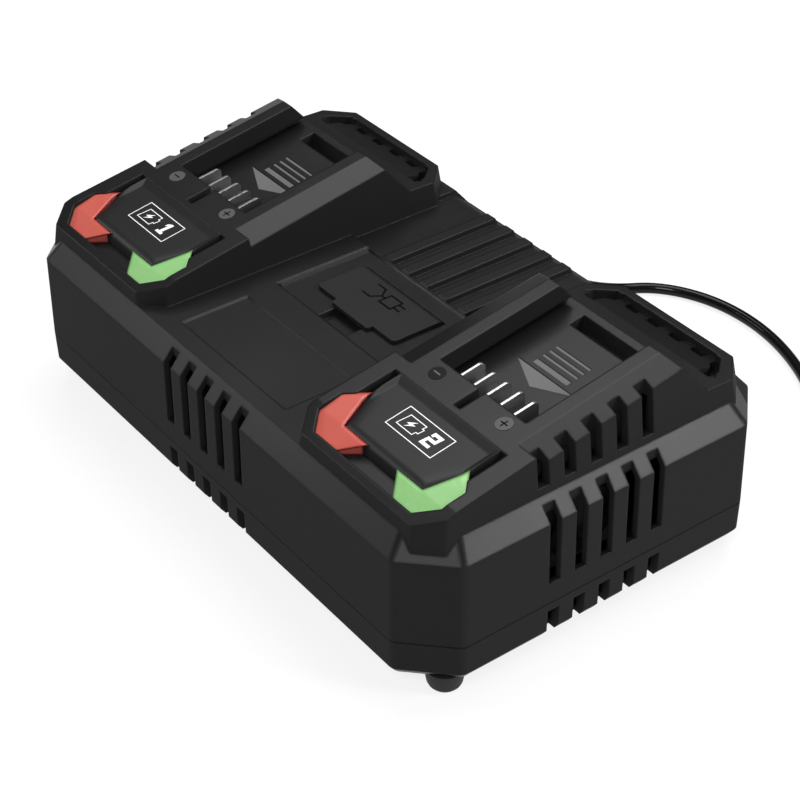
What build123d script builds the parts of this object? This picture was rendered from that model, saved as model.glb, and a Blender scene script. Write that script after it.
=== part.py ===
"""Dual-bay charger for slide-on tool batteries: case, two docks, USB cover, fan and mains lead.

Millimetres, +Z up. The front is -Y, the docks lie side by side along X, and the origin is
the middle of the footprint, at the soles of the feet.
"""
import os
from math import atan, cos, pi, radians, sin, sqrt, tan

from build123d import *

os.makedirs("parts", exist_ok=True)

# Case: an octagon with drafted walls, split into an upper and a lower half
CASE_WIDTH = 264.8
CASE_DEPTH = 161.0
CORNER_CUT = 17.3
CORNER_ROUND = 4.0
BASE_Z = 9.3
BASE_EDGE = 2.6
BASE_INSET = 0.3
SPLIT_Z = 24.5
WALL_TOP_Z = 58.9
DECK_Z = 66.4
REAR_DECK_Z = 64.3
REAR_DECK_START = 20.0
REAR_DECK_END = 72.5
WALL_DRAFT = 0.6
CHAMFER_RUN = 6.3
WALL = 2.6
BASE_WALL = 4.2
FLOOR = 2.6
LIP_HEIGHT = 2.4
LIP_THICKNESS = 1.3
FIT = 0.15

# Slots that let the cooling air through the walls
VENT_WIDTH = 5.0
VENT_PITCH = 11.5
VENT_COUNT = 5
VENT_BOTTOM_Z = 33.0
VENT_EDGE_INSET = 5.1
BASE_VENT_TOP_Z = 20.9
DOCK_VENT_BOTTOM_Z = 69.2
DOCK_VENT_INNER = 33.6
SIDE_VENT_SHIFT = -1.45
VENT_REACH = 30.0

# Docks: wedges whose tops rise to the back
DOCK_INSET = 47.4
DOCK_TOP_Z = 86.15
DOCK_SLOPE = 0.167
DOCK_OUTER_FOOT = 40.4
DOCK_INNER_FOOT = 38.9
DOCK_SHOULDER = 38.0
SHOULDER_Z = 86.0
DOCK_FRONT_FOOT = 73.6
DOCK_FRONT_TOP = 71.3
DOCK_BACK_FOOT = 72.6
DOCK_BACK_TOP = 69.6
DOCK_FRONT_CUT = 8.4
DOCK_BACK_CUT = 10.2
DOCK_ROUND = 1.6
NOSE_START = 60.5
NOSE_SLOPE = 0.37
BEVEL_START = -27.0
BEVEL_INNER = 29.1
BEVEL_DROP = 3.6
BEVEL_REACH = 20.0
RAIL_END = 35.0
RAMP_BREAK = (47.8, 77.2)
RAMP_LOW_SLOPE = 0.25
RIM_TOP_Z = 75.4
RIM_FALL = 1.0
RIM_WIDTH = 3.4
NOTCH = (6.5, 3.8, 3.6)
NOTCH_PITCH = 11.6
NOTCH_COUNT = 4
POCKET = (27.8, 33.2, 55.4, 60.2)
POCKET_ARM = (25.3, 27.2, 61.4, 63.8)

# Bay of a dock: rails, undercut grooves, floor, latch slot
RAIL_OPENING = 46.6
RAIL_FLANGE = 8.0
GROOVE_HEIGHT = 3.2
GROOVE_DEPTH = 4.0
BAY_FRONT = -18.8
LATCH_SLOT = (30.2, 6.7, 6.5)
LATCH_SLOT_Y = 36.5
KEY_SLOT = (3.5, 11.0, 8.0)
BAY_FLOOR_WALL = 2.5
RAIL_HOLLOW = (30.0, 35.4)
CAVITY_HALF = 35.4
CAVITY_FRONT = -45.0
CAVITY_STEP = 30.0
CAVITY_BACK = 60.0

# Front recess of a dock, its label tile and its two light pipes
RECESS_DEPTH = 6.2
RECESS_BACK = -32.75
RECESS_SIDE = 3.2
RECESS_SWELL = 3.7
RECESS_WIDEN = (-49.4, -53.0)
RECESS_NOSE = -62.6
RECESS_FRONT = -69.6
TILE_HALF = 27.4
TILE_NOSE_HALF = 22.2
TILE_FRONT = -61.6
TILE_SHOULDER = -55.6
TILE_ROUND = 1.5
LABEL_DEPTH = 1.0
LABEL_SIZE = (46.0, 20.5)
LABEL_SHIFT = 0.6
PIPE_BACK = -47.0
PIPE_FRONT = (27.2, 17.7)
PIPE_TIP = 9.9
PIPE_BREAK = -61.6
PIPE_TOP_SLOPE = 0.28
PIPE_FRONT_Z = 70.4
PIPE_STEM = 4.0
PIPE_STEM_PLACE = (30.5, -60.5)

# Contacts
BLADE_PITCH = 7.2
BLADE_COUNT = 5
BLADE_THICKNESS = 1.0
BLADE_BACK = -6.2
BLADE_LENGTH = 10.6
BLADE_DROP = 3.1
BLADE_ROOT_Z = 63.0
BLADE_CORNER = 2.0
BLADE_FIT = 0.1
BLOCK_HALF = 19.5
BLOCK_FRONT = -22.0
BLOCK_BACK = -2.0
BLOCK_BOTTOM_Z = 58.5

# USB bay on the deck, under a hinged cover
USB_RECESS = (68.0, 41.3)
USB_RECESS_Y = -1.65
USB_RECESS_Z = 65.2
COVER_HALF = 24.5
COVER_FRONT = -11.7
COVER_BACK = 11.8
COVER_TOP_Z = 66.8
COVER_GAP = 0.3
TAB_HALF = 11.5
TAB_FRONT = -14.3
HINGE_RADIUS = 2.6
PIN_HOLD = 3.0
HINGE_PIN = 1.2
PIN_FIT = 0.05
FINGER_HALF = 8.6
FINGER_FRONT = -21.9
FINGER_DEPTH = 2.8
SOCKET_HALF = 19.0
SOCKET_FRONT = -9.6
SOCKET_BACK = 4.0
SOCKET_TOP_Z = 62.4
SOCKET_HEIGHT = 15.0
PORT_SIZE = (12.6, 5.2, 9.5)
PORT_SPACING = 18.0
WELL_WALL = 2.0
WELL_BOTTOM_Z = 52.0

# Deck trim
RIB_WIDTH = 5.2
RIB_TOP_Z = 66.6
RIB_BACK = 72.3
PANEL_HALF = 34.0
PANEL_FRONT = -65.8
PANEL_BACK = -37.0
PANEL_DEPTH = 0.5

# Feet and screws
FRONT_FOOT_INSET = (10.9, 17.7)
REAR_FOOT_INSET = (17.4, 17.7)
FOOT_TOP = 15.0
FOOT_SOLE = 12.4
FOOT_ROUND = 3.4
SCREW_INSET = (34.4, 13.5)
SCREW_SHANK = 3.5
SCREW_HEAD = 6.6
SCREW_HEAD_HEIGHT = 2.4
SCREW_LENGTH = 18.0
SCREW_SINK = 2.0
POST_DIAMETER = 8.4
POST_END_Z = 17.5

# Inside
BOARD_INSET = (46.4, 26.5)
BOARD_THICKNESS = 1.6
BOARD_Z = 19.6
BOARD_POST_INSET = 8.0
BOARD_POST_DIAMETER = 7.0
TRANSFORMER = (42.0, 38.0, 30.0)
TRANSFORMER_PLACE = (-40.0, 22.0)
CAPACITOR = (22.0, 30.0)
CAPACITOR_PLACE = (26.0, 32.0)
CAPACITOR_SPACING = 26.0
SINK_SIZE = (4.0, 52.0, 24.0)
SINK_PLACE = (58.0, -18.0)
SINK_FIN = (10.0, 1.6)
SINK_FIN_COUNT = 8
LED_BOARD = (70.0, 12.0, 1.2)
LED_BOARD_INSET = 24.3
FAN_SIZE = 40.0
FAN_DEPTH = 10.0
FAN_INSET = 20.4
FAN_Z = 42.5
FAN_RIM = 1.0
FAN_TIP_GAP = 0.8
FAN_HUB = 15.0
FAN_SHAFT = 2.0
FAN_BLADES = 7
FAN_BLADE = 1.1
FAN_SPOKE = 2.2
CRADLE = 4.0

# Mains lead
CORD = 4.8
CORD_X = -24.0
GLAND_Z = 18.0
FLOOR_GAP = 0.1
BOOT_LENGTH = 20.0
BOOT_ROOT = 8.4
BOOT_TIP = 7.0
BOOT_FLANGE = 11.0
BOOT_FLANGE_DEPTH = 2.4
BOOT_RIBS = 4
COIL_CENTRE = (139.0, 146.0)
COIL_RADIUS = 26.5
COIL_ROWS = 3
COIL_LAYERS = 3
COIL_PART_TURN = 0.34
PLUG_BODY = (26.0, 34.0, 14.0)
PLUG_ROUND = 4.0
PLUG_BACK = 15.6
PLUG_NECK = 16.0
TAIL_LENGTH = 26.0
TAIL_SINK = 0.4
PLUG_PIN = 4.0
PLUG_PIN_LENGTH = 19.0
PLUG_PIN_SPACING = 19.0
PLUG_PIN_ROOT = 8.0

DOCK_X = CASE_WIDTH / 2 - DOCK_INSET
RECESS_HALF = TILE_HALF + RECESS_SIDE
RECESS_BULGE = RECESS_HALF + RECESS_SWELL
FLOOR_DROP = RAIL_FLANGE + GROOVE_HEIGHT
BASIN_BACK = DOCK_BACK_TOP + DOCK_ROUND - RIM_WIDTH
DECK_UNDERSIDE_Z = REAR_DECK_Z - WALL
SLOPE_ANGLE = atan(DOCK_SLOPE)
FRONT_FOOT = (CASE_WIDTH / 2 - FRONT_FOOT_INSET[0], FRONT_FOOT_INSET[1] - CASE_DEPTH / 2)
REAR_FOOT = (CASE_WIDTH / 2 - REAR_FOOT_INSET[0], CASE_DEPTH / 2 - REAR_FOOT_INSET[1])
SCREW_PLACE = (CASE_WIDTH / 2 - SCREW_INSET[0], CASE_DEPTH / 2 - SCREW_INSET[1])
BOARD_SIZE = (CASE_WIDTH - 2 * BOARD_INSET[0], CASE_DEPTH - 2 * BOARD_INSET[1], BOARD_THICKNESS)
BOARD_POST = (BOARD_SIZE[0] / 2 - BOARD_POST_INSET, BOARD_SIZE[1] / 2 - BOARD_POST_INSET)
FAN_X = CASE_WIDTH / 2 - FAN_INSET
FAN_BORE = FAN_SIZE - 2 * FAN_RIM
LED_BOARD_Y = LED_BOARD_INSET - CASE_DEPTH / 2


def dock_top(y, drop=0.0):
    """Height of a dock's sloping top plane at y, or of the plane a given drop under it."""
    return DOCK_TOP_Z + DOCK_SLOPE * y - drop


def ramp_height(y):
    """Height of the ramp that falls from the rails to the back rim."""
    return RAMP_BREAK[1] - RAMP_LOW_SLOPE * (y - RAMP_BREAK[0])


def octagon(height, inset=0.0):
    """Section of the case at one height, moved inwards by an inset."""
    with BuildSketch(Plane.XY.offset(height)) as section:
        Rectangle(CASE_WIDTH - 2 * inset, CASE_DEPTH - 2 * inset)
        chamfer(section.vertices(), CORNER_CUT - (2 - sqrt(2)) * inset)
        fillet(section.vertices(), CORNER_ROUND)
    return section.sketch


def side_profile(points):
    """Closed face in the YZ plane from (y, z) points, ready to extrude along X."""
    with BuildSketch(Plane.YZ) as profile:
        with BuildLine():
            Polyline(*points, close=True)
        make_face()
    return profile.sketch


def dock_outline(height):
    """Plan of a dock at one height: an octagon that narrows upwards."""
    rise = (SHOULDER_Z - height) / (SHOULDER_Z - DECK_Z)
    outer = DOCK_SHOULDER + (DOCK_OUTER_FOOT - DOCK_SHOULDER) * rise
    inner = DOCK_SHOULDER + (DOCK_INNER_FOOT - DOCK_SHOULDER) * rise
    front = DOCK_FRONT_TOP + (DOCK_FRONT_FOOT - DOCK_FRONT_TOP) * rise
    back = DOCK_BACK_TOP + (DOCK_BACK_FOOT - DOCK_BACK_TOP) * rise
    with BuildSketch(Plane.XY.offset(height)) as plan:
        with BuildLine():
            Polyline(
                (outer - DOCK_FRONT_CUT, -front),
                (outer, -front + DOCK_FRONT_CUT),
                (outer, back - DOCK_BACK_CUT),
                (outer - DOCK_BACK_CUT, back),
                (DOCK_BACK_CUT - inner, back),
                (-inner, back - DOCK_BACK_CUT),
                (-inner, -front + DOCK_FRONT_CUT),
                (DOCK_FRONT_CUT - inner, -front),
                close=True,
            )
        make_face()
        fillet(plan.vertices(), DOCK_ROUND)
    return plan.sketch


def rear_basin(height):
    """Plan of the basin behind the rails, inside the rim."""
    half = DOCK_SHOULDER - RIM_WIDTH
    back = BASIN_BACK
    with BuildSketch(Plane.XY.offset(height)) as plan:
        with BuildLine():
            Polyline(
                (half, RAIL_END),
                (half, back - DOCK_BACK_CUT),
                (half - DOCK_BACK_CUT, back),
                (DOCK_BACK_CUT - half, back),
                (-half, back - DOCK_BACK_CUT),
                (-half, RAIL_END),
                close=True,
            )
        make_face()
    return plan.sketch


# Outer form of one dock, with its middle at X = 0 and its outer side towards +X
top_of_cutters = dock_top(RAIL_END) + 6
ramp_end = (CASE_DEPTH / 2, ramp_height(CASE_DEPTH / 2))
nose_tip = (-CASE_DEPTH / 2, dock_top(-NOSE_START) - NOSE_SLOPE * (CASE_DEPTH / 2 - NOSE_START))
rim_start = RAMP_BREAK[0] + 1.5
with BuildPart() as dock_form:
    loft([dock_outline(WALL_TOP_Z), dock_outline(top_of_cutters)])
    envelope = side_profile([
        (nose_tip[0], WALL_TOP_Z),
        nose_tip,
        (-NOSE_START, dock_top(-NOSE_START)),
        (RAIL_END, dock_top(RAIL_END)),
        (rim_start, RIM_TOP_Z),
        (CASE_DEPTH / 2, RIM_TOP_Z - RIM_FALL),
        (CASE_DEPTH / 2, WALL_TOP_Z),
    ])
    extrude(envelope, amount=CASE_WIDTH / 2, both=True, mode=Mode.INTERSECT)
    bevel_fall = BEVEL_REACH * BEVEL_DROP / (DOCK_SHOULDER - BEVEL_INNER)
    bevel = [(BEVEL_INNER, 0), (BEVEL_INNER + BEVEL_REACH, -bevel_fall),
             (BEVEL_INNER + BEVEL_REACH, BEVEL_REACH), (BEVEL_INNER, BEVEL_REACH)]
    bevel_plane = Plane(
        origin=(0, BEVEL_START, dock_top(BEVEL_START)),
        x_dir=(1, 0, 0),
        z_dir=(0, cos(SLOPE_ANGLE), sin(SLOPE_ANGLE)),
    )
    for side in (1, -1):
        with BuildSketch(bevel_plane):
            with BuildLine():
                Polyline(*[(side * x, -z) for x, z in bevel], close=True)
            make_face()
        extrude(amount=CASE_DEPTH, mode=Mode.SUBTRACT)

# Everything that is open in one dock: bay, grooves, basin, front recess and the hollow inside
with BuildPart() as dock_void:
    bay_back = CASE_DEPTH / 2
    extrude(side_profile([
        (BAY_FRONT, dock_top(BAY_FRONT, FLOOR_DROP)),
        (bay_back, dock_top(bay_back, FLOOR_DROP)),
        (bay_back, top_of_cutters + 10),
        (BAY_FRONT, top_of_cutters + 10),
    ]), amount=RAIL_OPENING / 2, both=True)
    extrude(side_profile([
        (BAY_FRONT, dock_top(BAY_FRONT, FLOOR_DROP)),
        (bay_back, dock_top(bay_back, FLOOR_DROP)),
        (bay_back, dock_top(bay_back, RAIL_FLANGE)),
        (BAY_FRONT, dock_top(BAY_FRONT, RAIL_FLANGE)),
    ]), amount=RAIL_OPENING / 2 + GROOVE_DEPTH, both=True)
    with BuildSketch(Plane.XY.offset(top_of_cutters)):
        with Locations((0, BAY_FRONT - KEY_SLOT[1] / 2)):
            Rectangle(KEY_SLOT[0], KEY_SLOT[1] + 0.02)
    extrude(amount=dock_top(BAY_FRONT, KEY_SLOT[2]) - top_of_cutters)
    with BuildSketch(Plane.XY.offset(dock_top(LATCH_SLOT_Y, FLOOR_DROP + LATCH_SLOT[2]))):
        with Locations((0, LATCH_SLOT_Y)):
            Rectangle(LATCH_SLOT[0], LATCH_SLOT[1])
    extrude(amount=LATCH_SLOT[2] + 2)

with BuildPart() as basin_void:
    extrude(rear_basin(WALL_TOP_Z), amount=top_of_cutters - WALL_TOP_Z + 10)
    extrude(side_profile([
        (RAIL_END, dock_top(RAIL_END)),
        RAMP_BREAK,
        ramp_end,
        (ramp_end[0], top_of_cutters + 10),
        (RAIL_END, top_of_cutters + 10),
    ]), amount=CASE_WIDTH / 2, both=True, mode=Mode.INTERSECT)

notch_floor_z = ramp_height(BASIN_BACK) - NOTCH[2]
with BuildPart() as notch_void:
    with BuildSketch(Plane.XY.offset(notch_floor_z)):
        with Locations((0, BASIN_BACK - NOTCH[1] / 2)):
            with GridLocations(NOTCH_PITCH, 1, NOTCH_COUNT, 1):
                Rectangle(NOTCH[0], NOTCH[1])
        for side in (1, -1):
            with BuildLine():
                Polyline(
                    (side * POCKET[0], POCKET[2]),
                    (side * POCKET[1], POCKET[2]),
                    (side * POCKET[1], POCKET[3]),
                    (side * POCKET_ARM[1], BASIN_BACK - 0.6),
                    (side * POCKET_ARM[0], BASIN_BACK - 0.6),
                    (side * POCKET_ARM[0], POCKET_ARM[3]),
                    (side * POCKET[0], POCKET_ARM[2]),
                    close=True,
                )
            make_face()
    extrude(amount=NOTCH[2] + 8)


def recess_half_outline(side):
    """Points of the front recess on one side, from its back corner to the front."""
    return [
        (side * RECESS_HALF, RECESS_BACK),
        (side * RECESS_HALF, RECESS_WIDEN[0]),
        (side * RECESS_BULGE, RECESS_WIDEN[1]),
        (side * RECESS_BULGE, RECESS_NOSE),
        (side * (RECESS_BULGE + RECESS_FRONT - RECESS_NOSE), RECESS_FRONT),
    ]


with BuildPart() as recess_void:
    with BuildSketch(Plane.XY.offset(WALL_TOP_Z)):
        with BuildLine():
            Polyline(*recess_half_outline(1), *reversed(recess_half_outline(-1)), close=True)
        make_face()
    extrude(amount=top_of_cutters - WALL_TOP_Z)
    extrude(side_profile([
        (-CASE_DEPTH, dock_top(-CASE_DEPTH, RECESS_DEPTH)),
        (0, dock_top(0, RECESS_DEPTH)),
        (0, top_of_cutters),
        (-CASE_DEPTH, top_of_cutters),
    ]), amount=CASE_WIDTH / 2, both=True, mode=Mode.INTERSECT)

# Hollow under one dock, open to the case below
with BuildPart() as dock_hollow:
    extrude(side_profile([
        (CAVITY_FRONT, DECK_UNDERSIDE_Z - 1),
        (CAVITY_FRONT, dock_top(CAVITY_FRONT, FLOOR_DROP + BAY_FLOOR_WALL)),
        (CAVITY_STEP, dock_top(CAVITY_STEP, FLOOR_DROP + BAY_FLOOR_WALL)),
        (CAVITY_STEP, notch_floor_z - WALL),
        (CAVITY_BACK, notch_floor_z - WALL),
        (CAVITY_BACK, DECK_UNDERSIDE_Z - 1),
    ]), amount=RAIL_OPENING / 2 + GROOVE_DEPTH, both=True)
    hollow_width = RAIL_HOLLOW[1] - RAIL_HOLLOW[0]
    for side in (1, -1):
        rail_inside = side_profile([
            (BEVEL_START, DECK_UNDERSIDE_Z - 1),
            (BEVEL_START, dock_top(BEVEL_START, RAIL_FLANGE)),
            (CAVITY_STEP, dock_top(CAVITY_STEP, RAIL_FLANGE)),
            (CAVITY_STEP, DECK_UNDERSIDE_Z - 1),
        ])
        with Locations((side * (RAIL_HOLLOW[0] + hollow_width / 2), 0, 0)):
            add(extrude(rail_inside, amount=hollow_width / 2, both=True, mode=Mode.PRIVATE))
    with BuildSketch(Plane.XY.offset(DECK_UNDERSIDE_Z - 1)):
        with Locations((0, (CAVITY_FRONT + CAVITY_BACK) / 2)):
            Rectangle(2 * CAVITY_HALF, CAVITY_BACK - CAVITY_FRONT)
    extrude(amount=3.6)

BLADE_FRONT = BLADE_BACK - BLADE_LENGTH


def blade_profile(grow=0.0):
    """Side view of a contact blade with a rounded top back corner, or its slot."""
    with BuildSketch(Plane.YZ) as profile:
        with BuildLine():
            Polyline(
                (BLADE_FRONT - grow, BLADE_ROOT_Z),
                (BLADE_FRONT - grow, dock_top(BLADE_FRONT, BLADE_DROP)),
                (BLADE_BACK + grow, dock_top(BLADE_BACK, BLADE_DROP)),
                (BLADE_BACK + grow, BLADE_ROOT_Z),
                close=True,
            )
        make_face()
        if not grow:
            fillet(profile.vertices().group_by(Axis.Y)[-1].sort_by(Axis.Z)[-1], BLADE_CORNER)
    return profile.sketch


def vent_boxes(plane_z, height, reach):
    """Row of vent cutters along X, each a box that starts at Y = 0 and runs to -Y."""
    with BuildPart() as row:
        with BuildSketch(Plane.XY.offset(plane_z)):
            with Locations((0, -reach / 2)):
                with GridLocations(VENT_PITCH, 1, VENT_COUNT, 1):
                    Rectangle(VENT_WIDTH, reach)
        extrude(amount=height)
    return row.part


wall_vents = vent_boxes(VENT_BOTTOM_Z, DECK_Z - VENT_BOTTOM_Z + 5, VENT_REACH)
base_vents = vent_boxes(BASE_Z - 5, BASE_VENT_TOP_Z - BASE_Z + 5, VENT_REACH)
dock_vents = vent_boxes(DOCK_VENT_BOTTOM_Z, top_of_cutters - DOCK_VENT_BOTTOM_Z, VENT_REACH)
front_vents = Location((0, -CASE_DEPTH / 2 + VENT_EDGE_INSET, 0))
right_vents = Location((CASE_WIDTH / 2 - VENT_EDGE_INSET, SIDE_VENT_SHIFT, 0), (0, 0, 90))
left_vents = Location((-CASE_WIDTH / 2 + VENT_EDGE_INSET, SIDE_VENT_SHIFT, 0), (0, 0, -90))
right_dock_vents = Location((DOCK_X + DOCK_VENT_INNER, SIDE_VENT_SHIFT, 0), (0, 0, 90))
left_dock_vents = Location((-DOCK_X - DOCK_VENT_INNER, SIDE_VENT_SHIFT, 0), (0, 0, -90))

HINGE_Y = COVER_BACK - HINGE_RADIUS
HINGE_Z = COVER_TOP_Z - HINGE_RADIUS

# Upper half of the case, with both docks
INNER_CHAMFER_Z = WALL_TOP_Z - 1.0
with BuildPart() as upper_housing:
    loft([octagon(SPLIT_Z), octagon(WALL_TOP_Z, WALL_DRAFT)])
    loft([octagon(WALL_TOP_Z, WALL_DRAFT), octagon(DECK_Z, WALL_DRAFT + CHAMFER_RUN)])
    extrude(side_profile([
        (REAR_DECK_START, REAR_DECK_Z),
        (REAR_DECK_END, REAR_DECK_Z),
        (CASE_DEPTH / 2 - WALL_DRAFT, WALL_TOP_Z),
        (CASE_DEPTH, WALL_TOP_Z),
        (CASE_DEPTH, DECK_Z + 5),
        (REAR_DECK_START, DECK_Z + 5),
    ]), amount=DOCK_X - DOCK_INNER_FOOT + 2, both=True, mode=Mode.SUBTRACT)
    add(dock_form.part.moved(Location((DOCK_X, 0, 0))))
    add(mirror(dock_form.part, about=Plane.YZ, mode=Mode.PRIVATE).moved(Location((-DOCK_X, 0, 0))))
    with BuildSketch(Plane.XY.offset(DECK_UNDERSIDE_Z - 0.5)):
        with Locations((0, (COVER_FRONT + COVER_BACK) / 2 + 0.8)):
            Rectangle(2 * (COVER_HALF + 4), COVER_BACK - COVER_FRONT + 7)
    extrude(amount=1.0)
    loft([octagon(SPLIT_Z, WALL), octagon(INNER_CHAMFER_Z, WALL_DRAFT + WALL)], mode=Mode.SUBTRACT)
    loft([octagon(INNER_CHAMFER_Z, WALL_DRAFT + WALL), octagon(DECK_UNDERSIDE_Z, CHAMFER_RUN)],
         mode=Mode.SUBTRACT)
    for side in (1, -1):
        with Locations((side * DOCK_X, 0, 0)):
            add(dock_void.part, mode=Mode.SUBTRACT)
            add(basin_void.part, mode=Mode.SUBTRACT)
            add(notch_void.part, mode=Mode.SUBTRACT)
            add(recess_void.part, mode=Mode.SUBTRACT)
            add(dock_hollow.part, mode=Mode.SUBTRACT)
    for row, place in ((wall_vents, front_vents), (wall_vents, right_vents), (wall_vents, left_vents),
                       (dock_vents, right_dock_vents), (dock_vents, left_dock_vents)):
        add(row.moved(place), mode=Mode.SUBTRACT)
    # Slots for the contact blades and holes for the light pipes' stems
    for side in (1, -1):
        with Locations((side * DOCK_X, 0, 0)):
            with GridLocations(BLADE_PITCH, 1, BLADE_COUNT, 1):
                add(extrude(blade_profile(BLADE_FIT), amount=BLADE_THICKNESS / 2 + BLADE_FIT,
                            both=True, mode=Mode.PRIVATE), mode=Mode.SUBTRACT)
    with BuildSketch(Plane.XY.offset(DECK_UNDERSIDE_Z - 1)):
        for side in (1, -1):
            with Locations((side * DOCK_X, PIPE_STEM_PLACE[1])):
                with GridLocations(2 * PIPE_STEM_PLACE[0], 1, 2, 1):
                    Circle(PIPE_STEM / 2 + FIT)
    extrude(amount=10, mode=Mode.SUBTRACT)
    # Ribs on the rear deck, with a sloping front end and a steep back end over the deck's edge
    rib = side_profile([
        (REAR_DECK_START - 0.5, REAR_DECK_Z - 0.5),
        (REAR_DECK_START - 0.5, REAR_DECK_Z + 0.8),
        (REAR_DECK_START + 1.0, RIB_TOP_Z),
        (RIB_BACK, RIB_TOP_Z),
        (REAR_DECK_END + 1.0, REAR_DECK_Z - 1.2),
    ])
    with GridLocations(VENT_PITCH, 1, VENT_COUNT, 1):
        add(extrude(rib, amount=RIB_WIDTH / 2, both=True, mode=Mode.PRIVATE))
    # Shallow panel and the recess round the USB cover
    with BuildSketch(Plane.XY.offset(DECK_Z - PANEL_DEPTH)):
        with Locations((0, (PANEL_FRONT + PANEL_BACK) / 2)):
            Rectangle(2 * PANEL_HALF, PANEL_BACK - PANEL_FRONT)
    extrude(amount=PANEL_DEPTH + 1, taper=-30, mode=Mode.SUBTRACT)
    with BuildSketch(Plane.XY.offset(USB_RECESS_Z)):
        with Locations((0, USB_RECESS_Y)):
            Rectangle(*USB_RECESS)
    extrude(amount=DECK_Z - USB_RECESS_Z + 1, taper=-40, mode=Mode.SUBTRACT)
    extrude(side_profile([
        (FINGER_FRONT, USB_RECESS_Z),
        (FINGER_FRONT + 1.2, USB_RECESS_Z - FINGER_DEPTH),
        (COVER_FRONT, USB_RECESS_Z - FINGER_DEPTH),
        (COVER_FRONT + 0.4, USB_RECESS_Z),
        (COVER_FRONT, DECK_Z + 1),
        (FINGER_FRONT, DECK_Z + 1),
    ]), amount=FINGER_HALF, both=True, mode=Mode.SUBTRACT)
    # Well for the USB sockets, with a groove for the cover's hinge barrel
    with BuildSketch(Plane.XY.offset(WELL_BOTTOM_Z)):
        with Locations((0, (SOCKET_FRONT + SOCKET_BACK) / 2)):
            Rectangle(2 * (SOCKET_HALF + FIT + WELL_WALL),
                      SOCKET_BACK - SOCKET_FRONT + 2 * (FIT + WELL_WALL))
            Rectangle(2 * (SOCKET_HALF + FIT), SOCKET_BACK - SOCKET_FRONT + 2 * FIT,
                      mode=Mode.SUBTRACT)
    extrude(amount=DECK_UNDERSIDE_Z - WELL_BOTTOM_Z + 0.5)
    with BuildSketch(Plane.XY.offset(WELL_BOTTOM_Z)):
        with Locations((0, (SOCKET_FRONT + SOCKET_BACK) / 2)):
            Rectangle(2 * (SOCKET_HALF + FIT), SOCKET_BACK - SOCKET_FRONT + 2 * FIT)
    extrude(amount=DECK_Z - WELL_BOTTOM_Z, mode=Mode.SUBTRACT)
    with BuildSketch(Plane.XY.offset(WELL_BOTTOM_Z + 4)):
        with Locations((0, HINGE_Y)):
            Rectangle(2 * (COVER_HALF + PIN_HOLD + 1), 2 * (HINGE_RADIUS + COVER_GAP + WELL_WALL))
    extrude(amount=DECK_UNDERSIDE_Z - WELL_BOTTOM_Z - 3.5)
    groove = HINGE_RADIUS + COVER_GAP
    with BuildSketch(Plane.YZ.offset(-COVER_HALF - COVER_GAP)):
        with Locations((HINGE_Y, HINGE_Z)):
            Circle(groove)
            Rectangle(2 * groove, 8, align=(Align.CENTER, Align.MIN))
    extrude(amount=2 * (COVER_HALF + COVER_GAP), mode=Mode.SUBTRACT)
    with BuildSketch(Plane.YZ.offset(-COVER_HALF - PIN_HOLD)):
        with Locations((HINGE_Y, HINGE_Z)):
            Circle(HINGE_PIN / 2)
    extrude(amount=2 * (COVER_HALF + PIN_HOLD), mode=Mode.SUBTRACT)
    # Screw posts
    with BuildSketch(Plane.XY.offset(POST_END_Z)):
        with GridLocations(2 * SCREW_PLACE[0], 2 * SCREW_PLACE[1], 2, 2):
            Circle(POST_DIAMETER / 2)
            Circle(SCREW_SHANK / 2 + PIN_FIT, mode=Mode.SUBTRACT)
    extrude(amount=DECK_UNDERSIDE_Z - POST_END_Z + 0.5)
    with BuildSketch(Plane.XY.offset(POST_END_Z)):
        with GridLocations(2 * SCREW_PLACE[0], 2 * SCREW_PLACE[1], 2, 2):
            Circle(SCREW_SHANK / 2 + PIN_FIT)
    extrude(amount=SCREW_LENGTH, mode=Mode.SUBTRACT)
upper_housing.part.label = "upper_housing"
export_step(upper_housing.part, "parts/upper_housing.step")

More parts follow.
